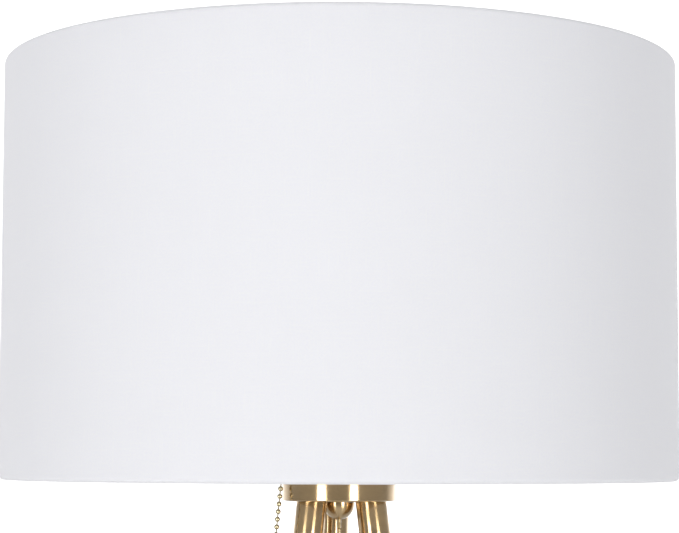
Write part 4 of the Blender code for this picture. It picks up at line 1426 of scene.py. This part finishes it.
    def bore(self) -> bpy.types.Object:
        """The shape that this leg's pocket, stud hole and spot face take out of the hub.

        Returns:
            The shape, as a piece to cut with.
        """
        beyond = 0.02
        pocket, hole, spot = self.neck + self.joint_gap, self.stud_bore, self.spot_radius
        low, high = self.hub_station, self.spot_station
        floor = low + self.pocket_depth
        outline = [
            (0.0, low - beyond), (pocket, low - beyond), (pocket, floor), (hole, floor),
            (hole, high), (spot, high), (spot, high + beyond), (0.0, high + beyond),
        ]
        return turned(f"bore_{self.name}", outline, steps=64, place=self.place)


@dataclass
class Hub(Assembly):
    """The turned disc that the legs bolt through, and what is clamped to it on the lamp's axis."""

    lip_height: float = 0.0006
    lip_width: float = 0.0012
    edge: float = 0.0004
    legs: Sequence[Leg] = ()
    dome_rim: float = 0.0008
    dome_bore: float = 0.0032
    steps: int = 160

    def build(self) -> None:
        """Makes the disc, the dome, the cord's bushing and the neck spacer."""
        low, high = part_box("hub_disc")
        r = high.x
        outline = [
            (r, high.z), (r, low.z + self.lip_height), (r - self.lip_width, low.z),
            (NIPPLE_BORE, low.z), (NIPPLE_BORE, high.z),
        ]
        disc = turned("hub_turning", eased(outline, self.edge, True, 3), True, self.steps)
        cut(disc, [leg.bore() for leg in self.legs])
        self.shop.dress(disc, Slot.ANTIQUE_BRASS, Body.LAMP, "hub_disc")
        self._dome()
        self._neck()
        self._bushing()

    def _dome(self) -> None:
        """Makes the dome that clamps the stack from below."""
        low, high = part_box("hub_dome")
        r = high.x
        rim = high.z - self.dome_rim
        bowl = arc((0.0, rim), (r, rim - low.z), 0, -80, 30)
        bore = min(self.dome_bore, bowl[-1][0] - 0.0002)
        outline = [(bore, high.z), (r, high.z), *bowl, (bore, low.z)]
        self.shop.dress(turned("dome_turning", outline, True), Slot.ANTIQUE_BRASS, Body.LAMP, "hub_dome")

    def _neck(self) -> None:
        """Makes the waisted spacer between the disc and the harp's saddle."""
        low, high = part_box("neck_spacer")
        r, bore = high.x, NIPPLE_BORE
        flange, waist = 0.0012, high.x - 0.0015
        outline = [
            (bore, high.z), (r, high.z), (r, high.z - flange), (waist, high.z - flange * 1.6),
            (waist, low.z + flange * 1.6), (r, low.z + flange), (r, low.z), (bore, low.z),
        ]
        neck = turned("neck_turning", eased(outline, 0.0003, True), True)
        self.shop.dress(neck, Slot.ANTIQUE_BRASS, Body.LAMP, "neck_spacer")

    def _bushing(self) -> None:
        """Makes the oval collar that the flex leaves through, stepped like a moulded grip."""
        low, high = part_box("cord_bushing")
        r, top = high.x, high.z
        bottom = low.z
        outline = [(0.0, top), (r * 0.9, top), (r, bottom + 0.0046)]
        for ring in (0.0036, 0.0026, 0.0016):
            outline += [(r, bottom + ring), (r * 0.86, bottom + ring - 0.0003), (r, bottom + ring - 0.0006)]
        outline += [(r * 0.9, bottom), (0.0, bottom)]
        widening = Matrix.Diagonal((1.0, high.y / high.x, 1.0, 1.0))
        piece = turned("cord_grip", eased(outline, 0.0002), steps=SMALL_STEPS, place=widening)
        self.shop.dress(piece, Slot.FLEX, Body.LAMP, "cord_bushing")


# ---------------------------------------------------------------- lamp holder, harp and bulb


@dataclass
class LampHolder(Assembly):
    """The pull-chain lamp holder: cap and shell of plated sheet, and the arm that the chain leaves by."""

    sheet: float = 0.0006
    arm_azimuth: float = 197.0
    arm_reach: float = 0.0340
    arm_radius: float = 0.0030
    bell_length: float = 0.011
    bell_radius: float = 0.0048
    bell_bore: float = 0.0032

    def build(self) -> None:
        """Makes the visible pieces and dresses the inner ones."""
        self._cap()
        self._shell()
        self._arm()
        inner = {
            "threaded_nipple": Slot.STEEL,
            "inner_lead": Slot.FLEX,
            "socket_insulator": Slot.CARD,
            "switch_body": Slot.PHENOLIC,
            "screw_shell": Slot.BRIGHT_BRASS,
            "centre_tongue": Slot.BRIGHT_BRASS,
            "bulb_contact": Slot.STEEL,
            **{f"leg_{name}_stud": Slot.STEEL for name in LEG_AZIMUTHS},
        }
        for node, slot in inner.items():
            self.shop.dress_node(node, slot)

    def _cap(self) -> None:
        """Makes the drawn cap, with its rolled lip."""
        low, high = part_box("socket_cap")
        outer, wall = high.x, self.sheet
        shoulder, neck = high.z - 0.008, 0.0085
        bell = arc((neck, shoulder), (outer - neck, shoulder - low.z), 0, -90, 14)
        lining = arc((neck, shoulder), (outer - neck - wall, shoulder - low.z - wall), -90, 0, 14)
        rolled = outer + 0.0002
        lip = [(outer - wall, high.z), (outer, high.z), (rolled, high.z - 0.0006), (outer, high.z - 0.0012)]
        outline = lip + bell + [(NIPPLE_BORE, low.z), (NIPPLE_BORE, low.z + wall)] + lining
        self.shop.dress(turned("holder_cap", outline, True), Slot.BRIGHT_BRASS, Body.LAMP, "socket_cap")

    def _shell(self) -> None:
        """Makes the shell, with two rolled beads and a turned-in mouth."""
        low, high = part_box("socket_shell")
        outer, wall = high.x, self.sheet
        skin = [(outer, high.z - 0.0004), (outer, high.z - 0.0060)]
        for bead in (0.0075, 0.0265):
            skin += arc((outer, high.z - bead), (0.0004, 0.0009), 90, -90, 6)
        skin += [(outer, low.z)]
        outline = skin + [(outer - wall, low.z), (outer - wall, high.z), (outer - 0.0002, high.z)]
        self.shop.dress(turned("holder_shell", outline, True), Slot.BRIGHT_BRASS, Body.LAMP, "socket_shell")

    def _arm(self) -> None:
        """Makes the arm, its collar at the shell and the bell mouth at its end."""
        height = middle_of("switch_body").z
        end = around(self.arm_reach, self.arm_azimuth, height)
        start = around(0.0112, self.arm_azimuth, height)
        along = (end - start).to_track_quat("Z", "Y").to_matrix().to_4x4()
        run = (end - start).length
        r = self.arm_radius
        tube = [
            (0.0, 0.0), (r, 0.0), (r, 0.0052), (r + 0.0016, 0.0052), (r + 0.0016, 0.0064), (r, 0.0068),
            (r, run - 0.0058), (r + 0.0004, run - 0.0052), (r, run - 0.0046), (r, run), (0.0, run),
        ]
        arm_place = Matrix.Translation(start) @ along
        arm = turned("arm_tube", eased(tube, 0.0002), steps=SMALL_STEPS, place=arm_place)
        high, low, bell = r + 0.0012, -self.bell_length, self.bell_radius
        outside = [
            (0.0, high), (bell * 0.42, high - 0.0002), (bell * 0.72, high - 0.0010),
            (bell * 0.88, high - 0.0026), (bell * 0.90, low + 0.0040), (bell * 0.95, low + 0.0022),
            (bell * 1.12, low + 0.0003), (bell * 1.12, low),
        ]
        bore, roof = self.bell_bore, r - 0.0020
        inside = [(bell * 1.02, low), (bore, low + 0.0024), (bore, roof), (0.0, roof)]
        mouth = turned("bell_mouth", outside + inside, steps=SMALL_STEPS, place=Matrix.Translation(end))
        piece = joined("chain_arm", [arm, mouth])
        self.shop.dress(piece, Slot.BRIGHT_BRASS, Body.LAMP, "pull_arm")


@dataclass
class PullChain(Assembly):
    """The ball chain, its head in the bell mouth and its pendant."""

    bead: float = 0.0016
    pitch: float = 0.0045
    link: float = 0.00042

    def build(self) -> None:
        """Makes the head, the beads with their links, and the pendant."""
        joints = {joint["name"]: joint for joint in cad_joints()}
        pivot = Vector(joints["chain_swing"]["pos_m"])
        down = Vector(joints["chain_pull"]["axis"]).normalized()
        turn = (-down).to_track_quat("Z", "Y").to_matrix().to_4x4()
        place = Matrix.Translation(pivot) @ turn
        self._head(place)
        low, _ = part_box("pull_chain")
        length = (low.z - pivot.z) / down.z
        count = round(length / self.pitch)
        pitch = length / count
        self._beads(place, count, pitch)
        self._pendant(place, down, pivot)

    def _head(self, place: Matrix) -> None:
        """Makes the crimped barrel that joins the chain to the switch's rod.

        Args:
            place: where the chain's own axis goes.
        """
        outline = [
            (0.0, 0.0070), (0.0008, 0.0070), (0.0011, 0.0062), (0.0019, 0.0056), (0.0019, 0.0044),
            (0.0015, 0.0039),
            (0.0019, 0.0034), (0.0019, 0.0012), (0.0011, 0.0003), (0.0, 0.0003),
        ]
        piece = turned("chain_barrel", eased(outline, 0.0002), steps=SMALL_STEPS, place=place)
        self.shop.dress(piece, Slot.CHAIN_BRASS, Body.CHAIN_HEAD, "chain_head")

    def _beads(self, place: Matrix, count: int, pitch: float) -> None:
        """Makes the hollow balls, with the rims of their holes, and the links between them.

        Args:
            place: where the chain's own axis goes.
            count: the number of balls.
            pitch: how far apart they are.
        """
        shape = bmesh.new()
        half = self.bead
        rim = 0.00060
        rise = math.sqrt(half * half - rim * rim)
        angle = math.degrees(math.asin(rise / half))
        ball = arc((0.0, 0.0), (half, half), angle, -angle, 8)
        hole = self.link * 1.05
        outline = [(hole, rise - 0.0002), *ball, (hole, -rise + 0.0002)]
        rod = [(0.0, 0.0), (self.link, 0.0), (self.link, pitch), (0.0, pitch)]
        kinds = ((outline, True, 14, 0.0), (rod, False, 6, -pitch / 2))
        for i in range(count):
            middle = -(i + 0.5) * pitch
            for points, closed, steps, shift in kinds:
                part = spun(points, closed, steps)
                station = place @ Matrix.Translation((0, 0, middle + shift))
                bmesh.ops.transform(part, matrix=station, verts=part.verts)
                mesh = bpy.data.meshes.new("link")
                part.to_mesh(mesh)
                part.free()
                shape.from_mesh(mesh)
                bpy.data.meshes.remove(mesh)
        chain = as_piece("ball_chain", shape, math.radians(50))
        self.shop.dress(chain, Slot.CHAIN_BRASS, Body.CHAIN, "pull_chain")

    def _pendant(self, place: Matrix, down: Vector, pivot: Vector) -> None:
        """Makes the turned drop at the chain's end.

        Args:
            place: where the chain's own axis goes.
            down: the way the chain hangs.
            pivot: where it hangs from.
        """
        low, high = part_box("chain_pendant")
        middle = (low + high) / 2
        station = (middle - pivot).dot(down)
        top = -station + 0.0108
        r = 0.0080
        outline = [
            (0.0, top), (0.0018, top), (0.0024, top - 0.0006), (0.0024, top - 0.0030),
            (0.0032, top - 0.0036),
            (0.0027, top - 0.0042), (0.0035, top - 0.0062), (0.0052, top - 0.0092), (0.0070, top - 0.0116),
            (r, top - 0.0130), (r, top - 0.0144), (0.0074, top - 0.0150), (0.0078, top - 0.0156),
            (0.0066, top - 0.0176), (0.0044, top - 0.0198), (0.0018, top - 0.0214), (0.0, top - 0.0218),
        ]
        piece = turned("pendant_drop", outline, steps=64, place=place)
        self.shop.dress(piece, Slot.CHAIN_BRASS, Body.CHAIN, "chain_pendant")


@dataclass
class Bulb(Assembly):
    """The screw-cap bulb: rolled thread, white housing with shallow ribs, and frosted diffuser."""

    thread_pitch: float = 0.00363
    thread_depth: float = 0.0009
    ribs: int = 24
    rib_depth: float = 0.00045

    def build(self) -> None:
        """Makes the three visible pieces."""
        self._cap()
        self._housing()
        self._globe()

    def _cap(self) -> None:
        """Makes the cap with a true helical thread."""
        low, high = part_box("bulb_cap")
        crest, root = high.x, high.x - self.thread_depth
        collar = crest - 0.0002
        core = [
            (0.0, high.z), (collar, high.z), (collar, high.z - 0.0016), (root, high.z - 0.0024),
            (root, low.z + 0.0062), (root - 0.0010, low.z + 0.0048), (0.0098, low.z + 0.0022),
            (0.0060, low.z), (0.0, low.z),
        ]
        body = turned("cap_core", eased(core, 0.0003))
        top, bottom = high.z - 0.0034, low.z + 0.0068
        turns = (top - bottom) / self.thread_pitch
        count = int(turns * 48)
        shares = [i / count for i in range(count + 1)]
        points = [around(root, -360.0 * turns * share, bottom + (top - bottom) * share) for share in shares]
        frames = frames_along(points, lambda i, ahead: points[i].xy.to_3d())
        for i, frame in enumerate(frames):
            fade = max(0.05, min(1.0, min(i, count - i) / 18))
            frames[i] = frame @ Matrix.Diagonal((fade, 1.0, 1.0, 1.0))
        half = 0.0015
        angles = [math.pi * i / 8 for i in range(1, 8)]
        crown = [(self.thread_depth * math.sin(a), half * math.cos(a)) for a in angles]
        section = [(-0.0003, half), *crown, (-0.0003, -half)]
        thread = swept("cap_thread", section, frames)
        self.shop.dress(joined("bulb_screw_cap", [body, thread]), Slot.SCREW_CAP, Body.BULB, "bulb_cap")

    def _housing(self) -> None:
        """Makes the housing, ribbed around its flare."""
        low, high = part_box("bulb_housing")
        top, foot = high.x, 0.0134
        flare = [
            (foot, low.z + 0.0004), (foot + 0.0006, low.z + 0.0030), (foot + 0.0011, low.z + 0.0046),
            (foot + 0.0030, low.z + 0.0110), (top - 0.0030, low.z + 0.0170), (top - 0.0006, low.z + 0.0225),
            (top, low.z + 0.0250), (top, high.z),
        ]
        outline = [(0.0, low.z), *flare, (0.0, high.z)]
        shape = spun(eased(outline, 0.0004), False, self.ribs * 8)
        for vert in shape.verts:
            share = (vert.co.z - low.z - 0.0060) / 0.0150
            if 0.0 < share < 1.0 and vert.co.xy.length > foot:
                angle = math.atan2(vert.co.y, vert.co.x)
                fade = math.sin(share * math.pi) ** 0.5
                depth = self.rib_depth * fade * (0.5 - 0.5 * math.cos(angle * self.ribs))
                scale = 1.0 - depth / vert.co.xy.length
                vert.co.x *= scale
                vert.co.y *= scale
        self.shop.dress(as_piece("bulb_shell", shape), Slot.HOUSING, Body.BULB, "bulb_housing")

    def _globe(self) -> None:
        """Makes the frosted diffuser as a thin shell."""
        low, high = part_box("bulb_globe")
        r, wall = high.x, 0.0012
        widest = high.z - r
        rim = math.degrees(math.asin(max(-0.99, (low.z - widest) / r)))
        outside = arc((0.0, widest), (r, r), 90, rim, 30)
        inside = arc((0.0, widest), (r - wall, r - wall), rim, 90, 30)
        outline = [(max(x, 0.0), z) for x, z in outside + inside if z > low.z - WELD]
        self.shop.dress(turned("bulb_diffuser", outline), Slot.DIFFUSER, Body.BULB, "bulb_globe")


@dataclass
class Harp(Assembly):
    """The harp: saddle with two posts, sleeves, and the bow with its threaded stud."""

    azimuth: float = 107.0
    post: float = 0.029
    wire: float = 0.0019
    bulge: float = 0.058
    saddle_width: float = 0.013
    boss: float = 0.0055
    stud: float = 0.0030
    thread_pitch: float = 0.00094

    def build(self) -> None:
        """Makes every piece of the harp."""
        self._saddle()
        for side, name in ((1, "a"), (-1, "b")):
            self._sleeve(name, around(self.post * side, self.azimuth))
        self._bow()

    def _saddle(self) -> None:
        """Makes the stamped saddle and the two posts riveted in it."""
        low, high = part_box("harp_saddle")
        thick = 0.0016
        turn = Matrix.Rotation(math.radians(self.azimuth), 4, "Z")
        place = Matrix.Translation((0, 0, low.z + thick / 2)) @ turn
        length = self.post * 2 + self.saddle_width * 0.6
        bar = block("saddle_bar", (length, self.saddle_width, thick), place, thick * 0.3, 2)
        under = low.z - 0.001
        drill = [(0.0, high.z), (NIPPLE_BORE, high.z), (NIPPLE_BORE, under), (0.0, under)]
        hole = turned("saddle_hole", drill)
        parts = [cut(bar, [hole])]
        for side in (1, -1):
            foot = Matrix.Translation(around(self.post * side, self.azimuth))
            rod = [
                (0.0, low.z), (0.0030, low.z), (0.0030, low.z + thick + 0.0008),
                (self.wire, low.z + thick + 0.0012), (self.wire, high.z), (0.0, high.z),
            ]
            parts.append(turned(f"post_{side}", eased(rod, 0.0003), steps=SMALL_STEPS, place=foot))
        self.shop.dress(joined("saddle_and_posts", parts), Slot.BRIGHT_BRASS, Body.LAMP, "harp_saddle")

    def _sleeve(self, name: str, foot: Vector) -> None:
        """Makes one locking sleeve, with a rolled foot.

        Args:
            name: the sleeve's letter.
            foot: where its axis stands.
        """
        low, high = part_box(f"harp_sleeve_{name}")
        outer, bore = (high.x - low.x) / 2, self.wire + 0.0003
        outline = [
            (bore, high.z), (outer - 0.0002, high.z), (outer - 0.0002, low.z + 0.0022),
            (outer, low.z + 0.0016),
            (outer, low.z + 0.0004), (outer - 0.0004, low.z), (bore, low.z),
        ]
        place = Matrix.Translation(foot)
        piece = turned(f"locking_sleeve_{name}", eased(outline, 0.0002, True), True, SMALL_STEPS, place)
        self.shop.dress(piece, Slot.BRIGHT_BRASS, Body.LAMP, f"harp_sleeve_{name}")

    def _bow(self) -> None:
        """Makes the bent wire, the boss at its top and the threaded stud that the finial screws on."""
        low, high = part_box("harp_bow")
        seat = high.z - STUD_RISE
        boss_height = 0.005
        rise = seat - boss_height / 2 - low.z
        wide = self.bulge
        half = [
            (self.post, 0.0), (self.post, 0.045), (self.post * 1.35, 0.11), (wide * 0.93, 0.26),
            (wide, 0.45), (wide * 0.9, 0.66), (wide * 0.62, 0.84), (wide * 0.3, 0.955), (0.0, 1.0),
        ]
        outline = half + [(-across, share) for across, share in half[-2::-1]]
        route = [around(across, self.azimuth, low.z + rise * share) for across, share in outline]
        bow = wire("bow_wire", smooth_route(route, 0.005), self.wire, 20)
        under = seat - boss_height
        top = [(0.0, under), (self.boss, under), (self.boss, seat), (self.stud, seat)]
        threads = int((high.z - seat - 0.001) / self.thread_pitch)
        for i in range(threads):
            crest = seat + (i + 0.5) * self.thread_pitch
            top += [(self.stud - 0.0003, crest), (self.stud, crest + self.thread_pitch / 2)]
        top += [(self.stud - 0.0005, high.z), (0.0, high.z)]
        boss = turned("boss_and_stud", top, steps=64)
        self.shop.dress(joined("harp_wire_bow", [bow, boss]), Slot.BRIGHT_BRASS, Body.LAMP, "harp_bow")


# ---------------------------------------------------------------- shade and finial


@dataclass
class DrumShade(Assembly):
    """The drum: linen turned in around both rings, styrene liner, and the spider that it hangs by."""

    ring_wire: float = 0.0019
    turn_in: float = 0.012
    lap: float = 0.014
    cloth: float = 0.0005
    liner_short: float = 0.0035
    seam_azimuth: float = 90.0
    steps: int = 256
    spider: Sequence[float] = (60.0, 180.0, 300.0)

    def build(self) -> None:
        """Makes every piece of the shade."""
        low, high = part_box("shade_fabric")
        self.low, self.high, self.radius = low.z, high.z, high.x
        self.ring_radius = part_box("shade_bottom_ring")[1].x - self.ring_wire
        self._linen()
        self._liner()
        self._rings()

    def _hem(self, sign: float) -> list[tuple[float, float]]:
        """The rolled hem around one ring.

        Args:
            sign: -1 at the lower rim and 1 at the upper one.

        Returns:
            Points (r, z) from the drum's wall round the ring to the raw edge inside.
        """
        rim = self.low if sign < 0 else self.high
        ring = rim - sign * (self.ring_wire + 0.001)
        outer = self.radius - self.cloth / 2 - self.ring_radius
        under = self.ring_wire + 0.001 - self.cloth / 2
        inner = self.ring_wire + 0.0005
        first = arc((self.ring_radius, ring), (outer, sign * under), 0, 90, 7)
        second = arc((self.ring_radius, ring), (inner, sign * under), 90, 180, 7)[1:]
        wall = self.ring_radius + self.ring_wire - 0.0006
        raw = rim - sign * self.turn_in
        edge = [(wall - 0.0012, rim - sign * 0.0065), (wall, rim - sign * 0.0090), (wall, raw)]
        return first + second + edge

    def _linen(self) -> None:
        """Makes the cloth as one strip that laps over itself at the back seam."""
        wall = self.radius - self.cloth / 2
        hem_low, hem_high = self._hem(-1.0), self._hem(1.0)
        rows = 10
        first, last = hem_low[0][1], hem_high[0][1]
        side = [(wall, first + (last - first) * i / rows) for i in range(1, rows)]
        outline = hem_low[::-1] + side + hem_high
        shape = bmesh.new()
        along = shape.verts.layers.float.new("along")
        start = math.radians(self.seam_azimuth)
        verts = [shape.verts.new((r * math.cos(start), r * math.sin(start), z)) for r, z in outline]
        run = 0.0
        for i, vert in enumerate(verts):
            if i:
                run += (vert.co - verts[i - 1].co).length
            vert[along] = run
        edges = [shape.edges.new(pair) for pair in zip(verts, verts[1:])]
        lap = self.lap / self.radius
        turn = TAU + lap
        steps = self.steps + 6
        bmesh.ops.spin(shape, geom=verts + edges, cent=(0, 0, 0), axis=(0, 0, 1), angle=turn, steps=steps)
        self._lay_seam(shape, along, start, turn, steps)
        bmesh.ops.recalc_face_normals(shape, faces=shape.faces)
        cloth = as_piece("linen_cover", shape, math.radians(60))
        outside = [f for f in cloth.data.polygons if f.center.xy.length > self.ring_radius + self.ring_wire]
        if sum(f.normal.dot(f.center.xy.to_3d().normalized()) for f in outside) < 0:
            cloth.data.flip_normals()
        solid = cloth.modifiers.new("Cloth thickness", "SOLIDIFY")
        solid.thickness = self.cloth
        solid.offset = 0.0
        self.shop.dress(cloth, Slot.LINEN, Body.SHADE, "shade_fabric")
        LOG.info("linen is cut %.3f by %.3f m", TAU * self.radius + self.lap, run)

    def _lay_seam(
        self, shape: bmesh.types.BMesh, along: object, start: float, turn: float, steps: int
    ) -> None:
        """Lays the strip out flat for its weave and tucks its lapped end under its start.

        The spin makes one step's faces after another, so a face's number gives its step.

        Args:
            shape: the strip.
            along: the layer that holds each vertex's distance across the strip.
            start: the seam's angle.
            turn: the whole angle of the strip.
            steps: its steps.
        """
        shape.faces.ensure_lookup_table()
        layer = shape.loops.layers.uv.new("UVMap")
        rows = len(shape.faces) // steps
        tucked: dict[bmesh.types.BMVert, float] = {}
        for face in shape.faces:
            column = face.index // rows
            for loop in face.loops:
                place = loop.vert.co
                near = turn * (column + 0.5) / steps
                angle = (math.atan2(place.y, place.x) - start - near + math.pi) % TAU - math.pi + near
                loop[layer].uv = (angle * self.radius, loop.vert[along])
                share = (angle - (TAU - 0.004)) / (turn - TAU + 0.004)
                if share > 0.0:
                    tucked[loop.vert] = min(1.0, share * 4)
        for vert, share in tucked.items():
            scale = 1.0 - share * (self.cloth + 0.00015) / vert.co.xy.length
            vert.co.x *= scale
            vert.co.y *= scale

    def _liner(self) -> None:
        """Makes the smooth styrene drum inside the linen."""
        low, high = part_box("shade_liner")
        outer, inner = high.x, high.x - self.cloth
        top, bottom = high.z - self.liner_short, low.z + self.liner_short
        outline = [(outer, top), (outer, bottom), (inner, bottom), (inner, top)]
        drum = turned("styrene_drum", outline, True, self.steps)
        self.shop.dress(drum, Slot.LINER, Body.SHADE, "shade_liner")

    def _rings(self) -> None:
        """Makes the lower ring, and the upper ring with its arms and washer."""
        wire_mid = self.ring_wire + 0.001
        for name, height in (("ring_low", self.low + wire_mid), ("ring_high", self.high - wire_mid)):
            loop = [around(self.ring_radius, 360.0 * i / self.steps, height) for i in range(self.steps)]
            ring = wire(name, loop, self.ring_wire, 12, closed=True)
            if name == "ring_low":
                self.shop.dress(ring, Slot.WHITE_WIRE, Body.SHADE, "shade_bottom_ring")
        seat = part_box("harp_bow")[1].z - STUD_RISE + FIT_GAP
        washer_height, hole, washer_radius = 0.002, 0.0034, 0.014
        washer = [
            (hole, seat + washer_height), (washer_radius, seat + washer_height),
            (washer_radius, seat), (hole, seat),
        ]
        parts = [ring, turned("washer", eased(washer, 0.0004, True), True, 64)]
        middle = seat + washer_height / 2
        top = self.high - wire_mid
        for azimuth in self.spider:
            route = [
                around(washer_radius - 0.004, azimuth, middle),
                around(washer_radius + 0.05, azimuth, middle),
                around(self.ring_radius - 0.032, azimuth, middle),
                around(self.ring_radius - 0.018, azimuth, middle + 0.0006),
                around(self.ring_radius - 0.007, azimuth, (middle + top) / 2),
                around(self.ring_radius, azimuth, top),
            ]
            parts.append(wire(f"arm_{azimuth:.0f}", smooth_route(route, 0.003), self.ring_wire * 0.95, 14))
            weld = turned(
                f"weld_{azimuth:.0f}",
                arc((0.0, 0.0), (0.0029, 0.0024), 90, -90, 8),
                steps=20,
                place=Matrix.Translation(around(self.ring_radius - 0.0006, azimuth, top)),
            )
            parts.append(weld)
        self.shop.dress(joined("shade_frame", parts), Slot.WHITE_WIRE, Body.SHADE, "shade_spider")


@dataclass
class Finial(Assembly):
    """The finial: a base that clamps the shade, and a turned ball knob."""

    bore: float = 0.0033
    neck: float = 0.0048

    def build(self) -> None:
        """Makes the base and the knob."""
        low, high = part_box("finial_base")
        r = high.x
        outline = [
            (self.bore, high.z), (r * 0.72, high.z), (r * 0.80, high.z - 0.0008),
            (r * 0.97, high.z - 0.0016),
            (r, high.z - 0.0022), (r, low.z + 0.0006), (r - 0.0004, low.z), (self.bore, low.z),
        ]
        base = turned("finial_collar", eased(outline, 0.0002, True), True)
        self.shop.dress(base, Slot.ANTIQUE_BRASS, Body.FINIAL_BASE, "finial_base")
        low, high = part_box("finial_knob")
        r = high.x
        middle = high.z - r
        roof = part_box("harp_bow")[1].z + FIT_GAP
        ball = arc((0.0, middle), (r, r), 90, -58, 36)
        foot = self.neck + 0.0010
        outline = ball + [
            (self.neck, low.z + 0.0024), (self.neck, low.z + 0.0019),
            (foot, low.z + 0.0012), (foot, low.z + 0.0003),
            (foot - 0.0003, low.z), (self.bore, low.z), (self.bore, roof), (0.0, roof),
        ]
        knob = turned("finial_ball", [(max(x, 0.0), z) for x, z in outline])
        self.shop.dress(knob, Slot.ANTIQUE_BRASS, Body.FINIAL_KNOB, "finial_knob")


# ---------------------------------------------------------------- studio


@dataclass
class Softbox:
    """One tall soft light beside the camera: a lamp for what it lights and one for its reflections."""

    name: str
    azimuth: float
    width: float
    height: float
    distance: float
    centre: float
    wash: float
    shine: float

    def build(self) -> None:
        """Makes both lamps, facing the object."""
        for use, power, behind in (("wash", self.wash, 0.12), ("shine", self.shine, 0.0)):
            lamp = bpy.data.lights.new(f"{self.name}_{use}", "AREA")
            lamp.shape = "RECTANGLE"
            lamp.size = self.width
            lamp.size_y = self.height
            lamp.energy = power
            obj = bpy.data.objects.new(lamp.name, lamp)
            bpy.context.scene.collection.objects.link(obj)
            obj.location = around(self.distance + behind, self.azimuth, self.centre)
            aim = Vector((0, 0, self.centre)) - obj.location
            obj.rotation_euler = aim.to_track_quat("-Z", "Y").to_euler()
            obj.visible_camera = False
            obj.visible_glossy = use == "shine"
            obj.visible_diffuse = use == "wash"


@dataclass
class Studio:
    """A pale floor, a white surround and two tall softboxes."""

    view_azimuth: float = 261.0
    floor_radius: float = 9.0
    floor_tone: float = 0.84
    floor_lift: float = 0.36
    surround: float = 1.75
    room: float = 0.39
    backdrop: float = 1.05
    lights: list[Softbox] = field(default_factory=list)

    def build(self) -> None:
        """Makes the stage and its light."""
        self._floor()
        self._surround()
        for light in self.lights:
            light.build()

    def _floor(self) -> None:
        """Makes a round floor that fades into the white surround, and marks it as the stage."""
        shape = bmesh.new()
        bmesh.ops.create_circle(shape, cap_ends=True, segments=96, radius=self.floor_radius)
        floor = as_piece("studio_floor", shape)
        made, hand, shader = start_material("Pale floor")
        place = hand.add("TexCoord")
        mottle = hand.noise(place.outputs["Object"], 3.0, 4.0)
        tone = self.floor_tone
        dim = tone * 0.97
        bright = hand.blend(mottle, (tone, tone, tone, 1.0), (dim, dim, dim, 1.0))
        hand.feed(shader.inputs["Base Color"], bright)
        shader.inputs["Roughness"].default_value = 0.7
        reach = hand.add("VectorMath", {0: place.outputs["Object"]}, operation="LENGTH")
        inner, outer = self.floor_radius * 0.2, self.floor_radius * 0.8
        fade = hand.remap(reach.outputs["Value"], inner, outer, 1.0, 0.0)
        hand.feed(shader.inputs["Alpha"], fade)
        shader.inputs["Emission Color"].default_value = (1.0, 1.0, 1.0, 1.0)
        lift = hand.maths("MULTIPLY", hand.add("LightPath").outputs["Is Camera Ray"], self.floor_lift)
        hand.feed(shader.inputs["Emission Strength"], lift)
        floor.data.materials.append(made)
        floor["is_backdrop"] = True

    def _surround(self) -> None:
        """Makes the white surround, dimmer on the camera's side than behind the lamp."""
        world = bpy.data.worlds.new("studio")
        bpy.context.scene.world = world
        world.use_nodes = True
        hand = NodeTree(world.node_tree)
        back = world.node_tree.nodes["Background"]
        ahead = around(1.0, self.view_azimuth)
        place = hand.add("TexCoord")
        towards = hand.add(
            "VectorMath", {0: place.outputs["Generated"], 1: ahead}, operation="DOT_PRODUCT"
        )
        sides = hand.remap(towards.outputs["Value"], -0.85, -0.35, self.surround, self.room)
        camera_side = hand.remap(towards.outputs["Value"], 0.90, 0.97, 1.0, 0.75)
        front = hand.maths("MULTIPLY", sides, camera_side)
        seen = hand.add("LightPath").outputs["Is Camera Ray"]
        strength = hand.maths("MAXIMUM", front, hand.maths("MULTIPLY", seen, self.backdrop))
        hand.feed(back.inputs["Strength"], strength)
        back.inputs["Color"].default_value = (1.0, 1.0, 1.0, 1.0)


# ---------------------------------------------------------------- the whole lamp


FRAME: dict[str, object] = {}


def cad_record() -> dict:
    """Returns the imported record."""
    return FRAME["record"]


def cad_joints() -> list[dict]:
    """Returns the frame's joints."""
    return FRAME["joints"]


def corners() -> list[list[float]]:
    """Returns the whole object's box as plain lists of numbers."""
    return [[float(x) for x in corner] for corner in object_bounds()]


def clear_start() -> None:
    """Removes what the startup scene holds."""
    for obj in list(bpy.data.objects):
        bpy.data.objects.remove(obj)


def main() -> None:
    """Loads the frame, builds the camera and every sub-assembly, and lights them."""
    logging.basicConfig(level=logging.INFO, format="%(name)s: %(message)s")
    clear_start()
    FRAME.update(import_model())
    Viewpoint().build()
    shop = Workshop()
    legs = [Leg(shop, name) for name in LEG_AZIMUTHS]
    assemblies = [FlexCord(shop), *legs, Hub(shop, legs=legs)]
    assemblies += [kind(shop) for kind in (LampHolder, PullChain, Bulb, Harp, DrumShade, Finial)]
    for assembly in assemblies:
        assembly.build()
    view = Viewpoint().azimuth
    Studio(
        view_azimuth=view,
        lights=[
            Softbox("softbox_left", view - 34.5, 0.80, 2.2, 2.6, 1.30, wash=21.6, shine=54.0),
            Softbox("softbox_right", view + 30.0, 0.72, 1.9, 2.6, 1.40, wash=15.0, shine=44.0),
        ],
    ).build()
    bpy.context.scene.view_settings.view_transform = "Standard"
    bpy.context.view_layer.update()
    LOG.info("%d pieces made", len(shop.made))


if __name__ == "__main__":
    main()
